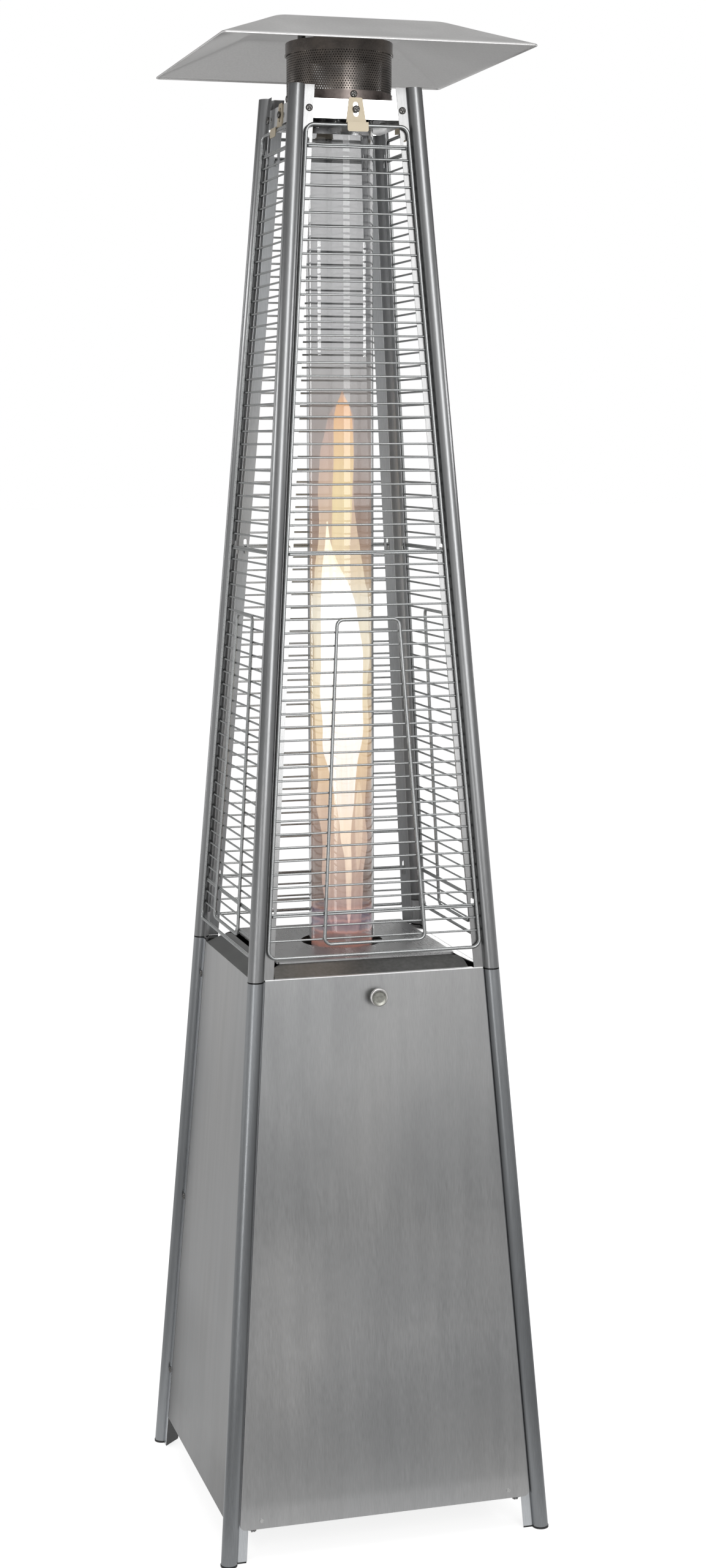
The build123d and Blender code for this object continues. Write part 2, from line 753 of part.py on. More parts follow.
# Venturi tube, burner cup with its ports, and the jet below them
flange_z = pan_floor_z + pan_sheet
with BuildPart() as venturi_tube:
    with BuildSketch(Plane.XY.offset(venturi_bottom_z)):
        Circle(venturi_radius)
    extrude(amount=flange_z + venturi_flange - venturi_bottom_z)
    with BuildSketch(Plane.XY.offset(flange_z)):
        Circle(venturi_flange_radius)
    extrude(amount=venturi_flange)
    with BuildSketch(Plane.XY.offset(venturi_bottom_z)):
        Circle(venturi_radius - venturi_wall)
    extrude(amount=flange_z + venturi_flange - venturi_bottom_z, mode=Mode.SUBTRACT)
finish(venturi_tube, "venturi_tube")

burner_z = flange_z + venturi_flange
with BuildPart() as burner_head:
    with BuildSketch(Plane.XY.offset(burner_z)):
        Circle(burner_radius)
    extrude(amount=burner_height)
    with BuildSketch(Plane.XY.offset(burner_z + burner_wall)):
        Circle(burner_radius - burner_wall)
    extrude(amount=burner_height - 2 * burner_wall, mode=Mode.SUBTRACT)
    with BuildSketch(Plane.XY.offset(burner_z)):
        Circle(venturi_radius - venturi_wall)
    extrude(amount=burner_wall, mode=Mode.SUBTRACT)
    with BuildSketch(Plane.XY.offset(burner_z + burner_height)):
        Circle(burner_port_radius)
        for ring in range(1, burner_port_rings + 1):
            with PolarLocations(ring * burner_radius / (burner_port_rings + 1), 6 * ring):
                Circle(burner_port_radius)
    extrude(amount=-burner_wall, mode=Mode.SUBTRACT)
finish(burner_head, "burner_head")

box_floor_z = box_bottom_z + box_sheet
with BuildPart() as gas_orifice:
    with BuildSketch(Plane.XY.offset(box_floor_z)):
        Circle(orifice_radius)
    extrude(amount=orifice_top_z - box_floor_z)
    with BuildSketch(Plane.XY.offset(orifice_top_z)):
        Circle(orifice_jet_radius)
    extrude(amount=-(orifice_top_z - box_floor_z) / 2, mode=Mode.SUBTRACT)
finish(gas_orifice, "gas_orifice")

probes = (
    ("ignition_electrode", electrode_radius, -probe_angle),
    ("thermocouple", thermocouple_radius, probe_angle),
)
for name, tip_radius, angle in probes:
    probe_x = probe_circle * math.cos(math.radians(angle))
    probe_y = probe_circle * math.sin(math.radians(angle))
    with BuildPart() as flame_probe:
        with BuildSketch(Plane.XY.offset(pan_floor_z - ceramic_drop)):
            with Locations((probe_x, probe_y)):
                Circle(ceramic_radius)
        extrude(amount=ceramic_drop + ceramic_top)
        with BuildSketch(Plane.XY.offset(flange_z)):
            with Locations((probe_x, probe_y)):
                Circle(ceramic_radius + ceramic_collar)
        extrude(amount=ceramic_collar_height)
        with BuildSketch(Plane.XY.offset(pan_floor_z)):
            with Locations((probe_x, probe_y)):
                Circle(tip_radius)
        extrude(amount=probe_top_z - pan_floor_z)
    finish(flame_probe, name)

# Control box: folded sheet, open at its top and rear, hung from the band's bottom flange
with BuildPart() as control_box:
    box_depth = box_rear_y - box_front_y
    box_height = frame_band_z - box_bottom_z
    box_middle = (box_rear_y + box_front_y) / 2
    with BuildSketch(Plane.XY.offset(box_bottom_z)):
        with Locations((0, box_middle)):
            Rectangle(2 * box_half_width, box_depth)
    extrude(amount=box_height)
    with BuildSketch(Plane.XY.offset(box_floor_z)):
        with Locations((0, box_middle + box_sheet)):
            Rectangle(2 * (box_half_width - box_sheet), box_depth)
    extrude(amount=box_height, mode=Mode.SUBTRACT)
    with BuildSketch(Plane.XY.offset(frame_band_z - box_sheet)):
        with Locations((0, box_middle - box_flange / 2)):
            Rectangle(2 * (box_half_width + box_flange), box_depth + box_flange)
        with Locations((0, box_middle)):
            Rectangle(2 * box_half_width, box_depth, mode=Mode.SUBTRACT)
    extrude(amount=box_sheet)
    with BuildSketch(Plane.XZ.offset(-box_front_y)):
        with Locations((-control_x, control_z)):
            Circle(guide_radius + 2 * slip)
        with Locations((control_x, control_z)):
            Circle(button_radius + button_edge)
    extrude(amount=-box_sheet, mode=Mode.SUBTRACT)
    with BuildSketch(Plane.XY.offset(box_bottom_z)):
        with Locations((-control_x, valve_front_y + valve_depth / 2)):
            Circle(inlet_radius + inlet_clearance)
    extrude(amount=box_sheet, mode=Mode.SUBTRACT)
finish(control_box, "control_box")

# Gas valve with a boss that carries the sliding guide of the spindle
valve_middle_y = valve_front_y + valve_depth / 2
box_inner_y = box_front_y + box_sheet
with BuildPart() as gas_valve:
    with BuildSketch(Plane.XY.offset(control_z - valve_height / 2)):
        with Locations((-control_x, valve_middle_y)):
            RectangleRounded(valve_width, valve_depth, valve_edge)
    extrude(amount=valve_height)
    with BuildSketch(Plane.XZ.offset(-valve_front_y)):
        with Locations((-control_x, control_z)):
            Circle(guide_radius + valve_boss)
    extrude(amount=valve_front_y - box_inner_y)
    with BuildSketch(Plane.XZ.offset(-box_inner_y)):
        with Locations((-control_x, control_z)):
            Circle(guide_radius + running)
    extrude(amount=-(guide_length + push_travel + stroke_spare), mode=Mode.SUBTRACT)
finish(gas_valve, "gas_valve")

# Hose connection under the valve
inlet_top_z = control_z - valve_height / 2
with BuildPart() as gas_inlet:
    with BuildSketch(Plane.XY.offset(inlet_top_z)):
        with Locations((-control_x, valve_middle_y)):
            RegularPolygon(inlet_radius + inlet_hex, 6)
    extrude(amount=-inlet_length / 2)
    with BuildSketch(Plane.XY.offset(inlet_top_z)):
        with Locations((-control_x, valve_middle_y)):
            Circle(inlet_radius + inlet_shoulder)
    extrude(amount=-(inlet_top_z - box_bottom_z))
    with BuildSketch(Plane.XY.offset(box_bottom_z)):
        with Locations((-control_x, valve_middle_y)):
            Circle(inlet_radius)
    extrude(amount=-inlet_length)
    with BuildSketch(Plane.XY.offset(inlet_top_z)):
        with Locations((-control_x, valve_middle_y)):
            Circle(inlet_radius / 2)
    extrude(amount=-(inlet_top_z - box_bottom_z + inlet_length), mode=Mode.SUBTRACT)
finish(gas_inlet, "gas_inlet")

# Pipe from the valve's rear to the side of the jet holder
pipe_z = control_z - valve_height / 4
pipe_low_z = box_floor_z + pipe_radius + pipe_lift
with BuildPart() as gas_pipe:
    with BuildLine() as pipe_path:
        FilletPolyline(
            (-control_x, valve_front_y + valve_depth, pipe_z),
            (-control_x, 0, pipe_z),
            (-control_x, 0, pipe_low_z),
            (-orifice_radius, 0, pipe_low_z),
            radius=pipe_bend,
        )
    with BuildSketch(Plane.XZ.offset(-(valve_front_y + valve_depth))):
        with Locations((-control_x, pipe_z)):
            Circle(pipe_radius)
    sweep()
finish(gas_pipe, "gas_pipe")

# Spindle guide that slides in the valve, the spindle that turns in it, and the knob
guide_front_y = box_inner_y
with BuildPart() as spindle_guide:
    with BuildSketch(Plane.XZ.offset(-guide_front_y)):
        with Locations((-control_x, control_z)):
            Circle(guide_radius)
            Circle(spindle_radius + running, mode=Mode.SUBTRACT)
    extrude(amount=-guide_length)
finish(spindle_guide, "spindle_guide")

knob_back_y = box_front_y - knob_gap
knob_bore_depth = knob_depth - knob_boss_wall
spindle_front_y = knob_back_y - knob_bore_depth
with BuildPart() as valve_spindle:
    with BuildSketch(Plane.XZ.offset(-spindle_front_y)):
        with Locations((-control_x, control_z)):
            Circle(spindle_radius)
    extrude(amount=-spindle_length)
finish(valve_spindle, "valve_spindle")

with BuildPart() as control_knob:
    with BuildSketch(Plane.XZ.offset(-knob_back_y)):
        with Locations((-control_x, control_z)):
            Circle(knob_radius)
    extrude(amount=knob_depth, taper=knob_taper)
    with BuildSketch(Plane.XZ.offset(-knob_back_y)):
        with Locations((-control_x, control_z)):
            Circle(knob_radius - knob_wall)
            Circle(spindle_radius + knob_boss_wall, mode=Mode.SUBTRACT)
    extrude(amount=knob_depth / 2, mode=Mode.SUBTRACT)
    with BuildSketch(Plane.XZ.offset(-knob_back_y + knob_depth)):
        with Locations((-control_x, control_z)):
            Rectangle(knob_grip, 2 * knob_radius - knob_grip)
    extrude(amount=knob_grip_height)
    with BuildSketch(Plane.XZ.offset(-knob_back_y)):
        with Locations((-control_x, control_z)):
            Circle(spindle_radius)
    extrude(amount=knob_bore_depth, mode=Mode.SUBTRACT)
finish(control_knob, "control_knob")

# Piezo igniter and its push button
button_length = button_travel + button_guide
with BuildPart() as igniter_body:
    with BuildSketch(Plane.XZ.offset(-box_inner_y)):
        with Locations((control_x, control_z)):
            Circle(igniter_radius)
    extrude(amount=-igniter_length)
    with BuildSketch(Plane.XZ.offset(-box_inner_y)):
        with Locations((control_x, control_z)):
            Circle(button_radius + running)
    extrude(amount=-(button_length + button_edge), mode=Mode.SUBTRACT)
finish(igniter_body, "igniter_body")

with BuildPart() as igniter_button:
    button_front_y = box_front_y - button_travel - button_stand
    with BuildSketch(Plane.XZ.offset(-button_front_y)):
        with Locations((control_x, control_z)):
            Circle(button_radius)
    extrude(amount=-(button_length + box_sheet))
    chamfer(igniter_button.edges().filter_by(GeomType.CIRCLE).sort_by(Axis.Y)[:1], button_edge)
finish(igniter_button, "igniter_button")

# Tilt switch on the side wall of the control box
with BuildPart() as tilt_switch:
    with BuildSketch(Plane.XY.offset(control_z - tilt_drop)):
        with Locations((box_half_width - box_sheet - tilt_width / 2, tilt_y)):
            RectangleRounded(tilt_width, tilt_depth, tilt_edge)
    extrude(amount=tilt_height)
finish(tilt_switch, "tilt_switch")

# Magnets that hold the door's top
with BuildPart() as door_magnets:
    magnet_front = door_gap - slip
    for hand in (-1, 1):
        with BuildSketch(Plane.XY.offset(frame_band_z - magnet_height)):
            front_y = -half_at(frame_band_z) - magnet_front
            with Locations((hand * magnet_x, front_y + magnet_depth / 2)):
                Rectangle(magnet_width, magnet_depth)
        extrude(amount=magnet_height)
finish(door_magnets, "door_magnets")

# Top frame: a plate with four leaning aprons between the upper posts
apron_z = top_plate_z - apron_height
apron_half = half_at(apron_z) - (sheet + skin_gap) * rise
with BuildPart() as top_frame:
    square_shell(apron_z, apron_height + top_plate_sheet, apron_half, sheet)
    plate_half = half_at(top_plate_z) - sheet - skin_gap - sheet / 2
    with BuildSketch(Plane.XY.offset(top_plate_z)):
        Rectangle(2 * plate_half, 2 * plate_half)
        Circle(mouth_radius, mode=Mode.SUBTRACT)
    extrude(amount=top_plate_sheet)
    for side in range(4):
        reach = half_at(top_screw_z) - screw_inset
        with BuildSketch(face_plane(side)):
            with Locations(*[face_point(x, top_screw_z) for x in (-reach, 0, reach)]):
                Circle(screw_hole_radius)
        extrude(amount=-4 * sheet, mode=Mode.SUBTRACT)
finish(top_frame, "top_frame")

# Collar that keeps the glass tube's top in place
with BuildPart() as glass_collar:
    with BuildSketch(Plane.XY.offset(top_plate_z)):
        Circle(glass_radius + collar_clearance + collar_wall)
        Circle(glass_radius + collar_clearance, mode=Mode.SUBTRACT)
    extrude(amount=-collar_height)
finish(glass_collar, "glass_collar")

# Flame screen in its polished base band, and the cap over it
band_z = top_plate_z + top_plate_sheet
band_inner = screen_radius + slip
with BuildPart() as screen_band:
    with BuildSketch(Plane.XY.offset(band_z)):
        Circle(band_inner + band_sheet)
        Circle(band_inner, mode=Mode.SUBTRACT)
    extrude(amount=band_height)
    with BuildSketch(Plane.XY.offset(band_z)):
        Circle(band_inner + band_sheet + band_flange)
        Circle(band_inner, mode=Mode.SUBTRACT)
    extrude(amount=band_sheet)
    for side in range(4):
        with BuildSketch(Plane.XZ.rotated((0, 0, 90 * side))):
            with Locations((0, band_screw_z)):
                Circle(screw_hole_radius)
        extrude(amount=cap_radius, mode=Mode.SUBTRACT)
finish(screen_band, "screen_band")

with BuildPart() as flame_screen:
    with BuildSketch(Plane.XY.offset(band_z)):
        Circle(screen_radius)
        Circle(screen_radius - screen_wall, mode=Mode.SUBTRACT)
    extrude(amount=screen_top_z - band_z)
    for side in range(4):
        with BuildSketch(Plane.XZ.rotated((0, 0, 90 * side))):
            with Locations((0, band_screw_z)):
                Circle(screw_hole_radius)
        extrude(amount=cap_radius, mode=Mode.SUBTRACT)
finish(flame_screen, "flame_screen")

cap_top_z = screen_top_z + cap_sheet
with BuildPart() as screen_cap:
    with BuildSketch(Plane.XY.offset(cap_top_z - cap_height)):
        Circle(cap_radius)
    extrude(amount=cap_height)
    with BuildSketch(Plane.XY.offset(cap_top_z - cap_height)):
        Circle(cap_radius + cap_bead)
    extrude(amount=cap_bead_height)
    with BuildSketch(Plane.XY.offset(cap_top_z - cap_height)):
        Circle(cap_radius - cap_sheet)
    extrude(amount=cap_height - cap_sheet, mode=Mode.SUBTRACT)
finish(screen_cap, "screen_cap")

# Four studs that carry the reflector over the cap, the reflector and its nuts
reflector_under_z = reflector_top_z - reflector_sheet
with BuildPart() as reflector_studs:
    with BuildSketch(Plane.XY.offset(cap_top_z)):
        with GridLocations(2 * stud_spread, 2 * stud_spread, 2, 2):
            Circle(stud_collar_radius)
    extrude(amount=reflector_under_z - cap_top_z)
    with BuildSketch(Plane.XY.offset(reflector_under_z)):
        with GridLocations(2 * stud_spread, 2 * stud_spread, 2, 2):
            Circle(stud_radius)
    extrude(amount=reflector_sheet + nut_height + stud_tip)
finish(reflector_studs, "reflector_studs")


def hat(z_low, half_low, z_high, half_high):
    with BuildSketch(Plane.XY.offset(z_low)) as low:
        RectangleRounded(2 * half_low, 2 * half_low, reflector_tip_radius)
    with BuildSketch(Plane.XY.offset(z_high)) as high:
        RectangleRounded(2 * half_high, 2 * half_high, reflector_tip_radius)
    return (low.sketch, high.sketch)


with BuildPart() as reflector:
    loft(hat(reflector_rim_z, reflector_rim_half, reflector_top_z, reflector_flat_half))
    with BuildSketch(Plane.XY.offset(reflector_rim_z - reflector_hem)):
        RectangleRounded(2 * reflector_rim_half, 2 * reflector_rim_half, reflector_tip_radius)
    extrude(amount=reflector_hem)
    rim_inside = reflector_rim_half - reflector_sheet
    flat_inside = reflector_flat_half - reflector_sheet
    inside_low_z = reflector_rim_z - reflector_sheet
    loft(hat(inside_low_z, rim_inside, reflector_under_z, flat_inside), mode=Mode.SUBTRACT)
    with BuildSketch(Plane.XY.offset(reflector_rim_z - reflector_hem)):
        RectangleRounded(2 * rim_inside, 2 * rim_inside, reflector_tip_radius - reflector_sheet)
    extrude(amount=reflector_hem - reflector_sheet, mode=Mode.SUBTRACT)
    with BuildSketch(Plane.XY.offset(reflector_top_z)):
        with GridLocations(2 * stud_spread, 2 * stud_spread, 2, 2):
            Circle(stud_radius + running)
    extrude(amount=-2 * reflector_sheet, mode=Mode.SUBTRACT)
finish(reflector, "reflector")

with BuildPart() as reflector_nuts:
    with BuildSketch(Plane.XY.offset(reflector_top_z)):
        with GridLocations(2 * stud_spread, 2 * stud_spread, 2, 2):
            RegularPolygon(nut_flat_radius, 6, major_radius=False)
            Circle(stud_radius + running, mode=Mode.SUBTRACT)
    extrude(amount=nut_height)
finish(reflector_nuts, "reflector_nuts")

# Wire guard: a bent frame, rungs welded behind it, a stiffening loop and three hook wires
rung_out = rung_radius + slip
frame_out = rung_out + rung_radius + guard_frame_radius - weld_sink
hook_out = hook_radius + slip


def wire_loop(side, corners, corner_radius, wire_radius):
    # a closed trapezoid of wire with round corners
    with BuildSketch(face_plane(side, frame_out)) as outline:
        with BuildLine():
            Polyline(*corners, close=True)
        make_face()
        fillet(outline.vertices(), corner_radius)
    path = outline.sketch.face().outer_wire()
    start = path @ 0
    with BuildSketch(Plane(origin=start, z_dir=path % 0)) as section:
        Circle(wire_radius)
    sweep(section.sketch, path=path)


def guard_half_at(z):
    return half_at(z) - guard_inset


loop_top_z = loop_bottom_z + loop_height
with BuildPart() as front_guard:
    frame_corners = [
        face_point(-guard_half_at(guard_bottom_z), guard_bottom_z),
        face_point(guard_half_at(guard_bottom_z), guard_bottom_z),
        face_point(guard_half_at(guard_top_z), guard_top_z),
        face_point(-guard_half_at(guard_top_z), guard_top_z),
    ]
    wire_loop(0, frame_corners, guard_corner_radius, guard_frame_radius)
    loop_corners = [
        face_point(-loop_bottom_half, loop_bottom_z),
        face_point(loop_bottom_half, loop_bottom_z),
        face_point(loop_top_half, loop_top_z),
        face_point(-loop_top_half, loop_top_z),
    ]
    wire_loop(0, loop_corners, loop_corner_radius, guard_frame_radius)
    for rung in range(rung_count):
        z = first_rung_z - rung * rung_pitch
        end = guard_half_at(z)
        start = face_plane(0, rung_out).from_local_coords(Vector(-end, z * rise, 0))
        with BuildSketch(Plane(origin=start, z_dir=(1, 0, 0))) as section:
            Circle(rung_radius)
        extrude(section.sketch, amount=2 * end)
    for rung in hook_rungs:
        z = first_rung_z - rung * rung_pitch
        along = z * rise - hook_drop
        reach = half_at(z) - screw_inset
        inside = -(sheet + slip + hook_radius)
        local_points = (
            (-reach, along - hook_tail, inside),
            (-reach, along, inside),
            (-reach, along, hook_out),
            (reach, along, hook_out),
            (reach, along, inside),
            (reach, along - hook_tail, inside),
        )
        points = [face_plane(0).from_local_coords(Vector(*point)) for point in local_points]
        with BuildLine() as hook_line:
            FilletPolyline(*points, radius=hook_bend)
        with BuildSketch(Plane(origin=points[0], z_dir=face_plane(0).y_dir)) as section:
            Circle(hook_radius)
        sweep(section.sketch, path=hook_line.line)

for side in range(4):
    with BuildPart() as guard:
        add(front_guard.part.rotate(Axis.Z, 90 * side))
    finish(guard, "guard_" + side_names[side])

# Clips screwed to the aprons: a shelf and a lip go over each guard's top wire
clip_back = -(sheet + skin_gap)
clip_face = clip_back + clip_sheet
shelf_low = guard_top_z * rise + guard_frame_radius + slip
shelf_high = shelf_low + clip_sheet
with BuildPart() as guard_clips:
    for side in range(4):
        with BuildSketch(face_plane(side, clip_back)) as plate_outline:
            with BuildLine():
                Polyline(
                    (-clip_shelf_half, shelf_low),
                    (clip_shelf_half, shelf_low),
                    (clip_top_half, clip_top_z * rise),
                    (-clip_top_half, clip_top_z * rise),
                    close=True,
                )
            make_face()
            fillet(plate_outline.vertices().group_by(Axis.Y)[-1], clip_corner_radius)
            with Locations(face_point(0, top_screw_z)):
                SlotOverall(clip_slot_height, clip_slot_width, rotation=90, mode=Mode.SUBTRACT)
        extrude(amount=clip_sheet)
        with BuildSketch(face_plane(side, clip_back)):
            with Locations((0, (shelf_low + shelf_high) / 2)):
                Rectangle(2 * clip_lip_half, clip_sheet)
        extrude(amount=clip_lip_out - clip_back)
        with BuildSketch(face_plane(side, clip_lip_out)) as lip_outline:
            with Locations((0, (shelf_high + clip_lip_bottom_z * rise) / 2)):
                Rectangle(2 * clip_lip_half, shelf_high - clip_lip_bottom_z * rise)
            fillet(lip_outline.vertices().group_by(Axis.Y)[0], clip_corner_radius)
        extrude(amount=-clip_sheet)
finish(guard_clips, "guard_clips")


# Pan-head screws of the panels, the top frame, the clips and the screen's band
def pan_screw(plane, point):
    with BuildSketch(plane) as shank:
        with Locations(point):
            Circle(screw_shank_radius)
    extrude(shank.sketch, amount=-screw_shank_length)
    with BuildSketch(plane) as head:
        with Locations(point):
            Circle(screw_head_radius)
    extrude(head.sketch, amount=screw_head_height, taper=screw_head_taper)


with BuildPart() as pan_screws:
    for corner in range(4):
        for side, points in flange_points(corner, panel_screw_z):
            if side != door_side:
                for point in points:
                    pan_screw(face_plane(side), point)
        for side, points in flange_points(corner, (top_screw_z,)):
            pan_screw(face_plane(side), points[0])
    for side in range(4):
        pan_screw(face_plane(side, clip_face), face_point(0, top_screw_z))
        pan_screw(Plane.XZ.rotated((0, 0, 90 * side)).offset(band_inner + band_sheet), (0, band_screw_z))
finish(pan_screws, "pan_screws")
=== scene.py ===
import random
from math import atan, cos, pi, radians, sin, sqrt, tau

import bmesh
import bpy
from mathutils import Matrix, Vector


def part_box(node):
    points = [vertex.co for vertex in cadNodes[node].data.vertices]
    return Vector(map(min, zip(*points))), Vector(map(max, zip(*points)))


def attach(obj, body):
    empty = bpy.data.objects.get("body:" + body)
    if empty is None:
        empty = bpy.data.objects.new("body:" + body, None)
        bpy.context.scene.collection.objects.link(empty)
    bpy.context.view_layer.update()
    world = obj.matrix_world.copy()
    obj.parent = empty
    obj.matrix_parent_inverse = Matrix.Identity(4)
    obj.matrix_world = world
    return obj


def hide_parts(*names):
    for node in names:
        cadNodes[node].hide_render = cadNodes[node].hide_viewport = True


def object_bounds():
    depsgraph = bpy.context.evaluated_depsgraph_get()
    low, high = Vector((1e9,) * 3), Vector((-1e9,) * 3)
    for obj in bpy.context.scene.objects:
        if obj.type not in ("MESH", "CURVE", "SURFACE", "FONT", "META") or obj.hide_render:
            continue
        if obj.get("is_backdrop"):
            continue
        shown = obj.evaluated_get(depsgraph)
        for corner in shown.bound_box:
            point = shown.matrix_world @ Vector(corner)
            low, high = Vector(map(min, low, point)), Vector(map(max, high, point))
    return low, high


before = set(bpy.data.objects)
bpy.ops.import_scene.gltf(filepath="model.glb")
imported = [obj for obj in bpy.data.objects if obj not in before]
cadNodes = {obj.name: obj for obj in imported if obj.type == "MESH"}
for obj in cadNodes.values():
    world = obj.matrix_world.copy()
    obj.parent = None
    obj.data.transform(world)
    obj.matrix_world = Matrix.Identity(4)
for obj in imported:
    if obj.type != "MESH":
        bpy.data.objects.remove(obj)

cadLow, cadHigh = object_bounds()
scene = bpy.context.scene
scene.view_settings.view_transform = "Standard"
print("frame loaded:", len(cadNodes), "nodes")

# The heater's faces lean in as they rise; the pieces below are placed from this
heater = {
    "baseHalf": 0.244,  # from the axis to a face at the floor
    "slope": 0.0725,
    "joint": 0.861,  # where the upper posts stand on the lower ones
    "screwInset": 0.0205,
    "pullHeight": 0.830,
}
lean = atan(heater["slope"])


def halfAt(z):
    return heater["baseHalf"] - heater["slope"] * z


def faceFrame(side, x, z, out=0.0):
    # local x along the face, y up its slope, z out of it; sides 0 front, 1 right, 2 rear, 3 left
    place = Matrix.Translation((x, -halfAt(z), z)) @ Matrix.Rotation(pi / 2 - lean, 4, "X")
    return Matrix.Rotation(pi / 2 * side, 4, "Z") @ place @ Matrix.Translation((0, 0, out))


def addObject(name, data):
    thing = bpy.data.objects.new(name, data)
    scene.collection.objects.link(thing)
    return thing


# Node helpers for materials and geometry

def addNode(tree, kind, inputs=None, **settings):
    # inputs are plain values, the outputs that feed them, or nodes whose first output does
    node = tree.nodes.new(kind)
    for name, value in settings.items():
        setattr(node, name, value)
    for socket, value in (inputs or {}).items():
        if isinstance(value, bpy.types.Node):
            value = value.outputs[0]
        if isinstance(value, bpy.types.NodeSocket):
            tree.links.new(value, node.inputs[socket])
        else:
            node.inputs[socket].default_value = value
    return node


def maths(tree, operation, *values):
    return addNode(tree, "ShaderNodeMath", dict(enumerate(values)), operation=operation).outputs[0]


def splitAxes(tree, vector):
    return addNode(tree, "ShaderNodeSeparateXYZ", {"Vector": vector}).outputs


def objectPlace(tree):
    return addNode(tree, "ShaderNodeTexCoord").outputs["Object"]


def distanceOf(tree, **offsets):
    offset = addNode(tree, "ShaderNodeCombineXYZ", offsets)
    return addNode(tree, "ShaderNodeVectorMath", {0: offset}, operation="LENGTH").outputs["Value"]


def remap(tree, value, low, high, toLow, toHigh, blend="LINEAR"):
    limits = {"Value": value, "From Min": low, "From Max": high, "To Min": toLow, "To Max": toHigh}
    return addNode(tree, "ShaderNodeMapRange", limits, interpolation_type=blend).outputs["Result"]


def grey(level, warm=0.0):
    # a metal tone; warm shifts it to straw, below zero to blue
    return (level * (1 + warm), level, level * (1 - warm))


def scaled(tone, factor):
    return tuple(min(1.0, part * factor) for part in tone)


def toneRamp(tree, value, stops, blend="LINEAR"):
    ramp = addNode(tree, "ShaderNodeValToRGB", {"Fac": value})
    ramp.color_ramp.interpolation = blend
    elements = ramp.color_ramp.elements
    while len(elements) < len(stops):
        elements.new(0.5)
    for element, (position, tone) in zip(elements, stops):
        element.position = position
        element.color = (*tone, 1)
    return ramp.outputs["Color"]


def mixTones(tree, factor, first, second, blend="MIX"):
    sockets = {"Factor": factor}
    for label, tone in (("A", first), ("B", second)):
        sockets[label] = tone if isinstance(tone, bpy.types.NodeSocket) else (*tone, 1)
    return addNode(tree, "ShaderNodeMix", sockets, data_type="RGBA", blend_type=blend).outputs["Result"]


def multiplied(tree, colour, *layers):
    for layer in layers:
        colour = mixTones(tree, 1.0, colour, layer, "MULTIPLY")
    return colour


# Camera, world, lamps and floor

cameraSetup = {
    "place": (-1.0203, -3.6389, 1.6377),
    "yaw": 0.27816,  # to the right of +Y
    "pitch": -0.13565,
    "roll": -0.00244,
    "lens": 57.094,
    "sensor": 36.0,
    "clip": (0.05, 400.0),
}


def makeCamera():
    lensData = bpy.data.cameras.new("viewCamera")
    lensData.lens = cameraSetup["lens"]
    lensData.sensor_width = cameraSetup["sensor"]
    lensData.clip_start, lensData.clip_end = cameraSetup["clip"]
    camera = addObject("viewCamera", lensData)
    turn = Matrix.Rotation(-cameraSetup["yaw"], 4, "Z")
    tilt = Matrix.Rotation(pi / 2 + cameraSetup["pitch"], 4, "X")
    camera.matrix_world = (Matrix.Translation(cameraSetup["place"]) @ turn @ tilt
                           @ Matrix.Rotation(cameraSetup["roll"], 4, "Z"))
    scene.camera = camera


worldSetup = {
    "diffuse": 0.52,  # soft fill from every side
    "levels": [(0.0, 0.86), (0.35, 0.74), (0.9, 0.50)],  # what polished metal sees, from the horizon up
    # from, to, share before, share after
    "sides": (0.35, 0.95, 1.0, 0.52),  # kept towards +X and -X
    "behind": (-0.1, 0.5, 0.0, 0.66),  # lost towards +Y
    "lowDown": (0.10, 0.42, 1.0, 0.0),  # where that loss holds
}


def makeWorld():
    world = bpy.data.worlds.new("paleStudio")
    world.use_nodes = True
    tree = world.node_tree
    tree.nodes.clear()
    toward = splitAxes(tree, addNode(tree, "ShaderNodeTexCoord").outputs["Generated"])
    levels = toneRamp(tree, toward["Z"], [(z, grey(level)) for z, level in worldSetup["levels"]])
    sides = remap(tree, maths(tree, "ABSOLUTE", toward["X"]), *worldSetup["sides"], "SMOOTHSTEP")
    behind = remap(tree, toward["Y"], *worldSetup["behind"], "SMOOTHSTEP")
    lowDown = remap(tree, toward["Z"], *worldSetup["lowDown"], "SMOOTHSTEP")
    kept = maths(tree, "SUBTRACT", 1.0, maths(tree, "MULTIPLY", behind, lowDown))
    studio = multiplied(tree, levels, maths(tree, "MULTIPLY", sides, kept))
    ray = addNode(tree, "ShaderNodeLightPath").outputs
    lit = mixTones(tree, ray["Is Glossy Ray"], grey(worldSetup["diffuse"]), studio)
    seen = maths(tree, "MAXIMUM", ray["Is Camera Ray"], ray["Is Transmission Ray"])
    background = addNode(tree, "ShaderNodeBackground", {"Color": mixTones(tree, seen, lit, grey(1.0))})
    addNode(tree, "ShaderNodeOutputWorld", {"Surface": background})
    scene.world = world


# name: place, aim, width, height, watts
studioLamps = {
    "frontBox": ((0.50, -3.55, 2.30), (0, 0, 2.1), 1.40, 2.40, 46.0),
    "leftLow": ((-1.95, -2.60, 0.65), (0, 0, 0.7), 0.50, 1.30, 7.0),
    "topBox": ((0.0, -0.6, 4.6), (0, 0, 1.0), 2.6, 2.6, 18.0),
    "rearRight": ((1.60, 3.00, 2.10), (0, 0, 1.6), 0.60, 2.20, 26.0),
    "rearLeft": ((-2.20, 2.40, 1.60), (0, 0, 1.2), 0.50, 1.80, 12.0),
    "glassLeft": ((-2.05, 0.02, 1.97), (0, 0, 1.85), 0.50, 0.26, 4.2),
    "glassRight": ((2.10, -0.43, 1.97), (0, 0, 1.85), 0.50, 0.26, 4.2),
    "glassEdge": ((1.89, 0.66, 1.26), (0, 0, 1.39), 0.06, 0.10, 0.35),
}


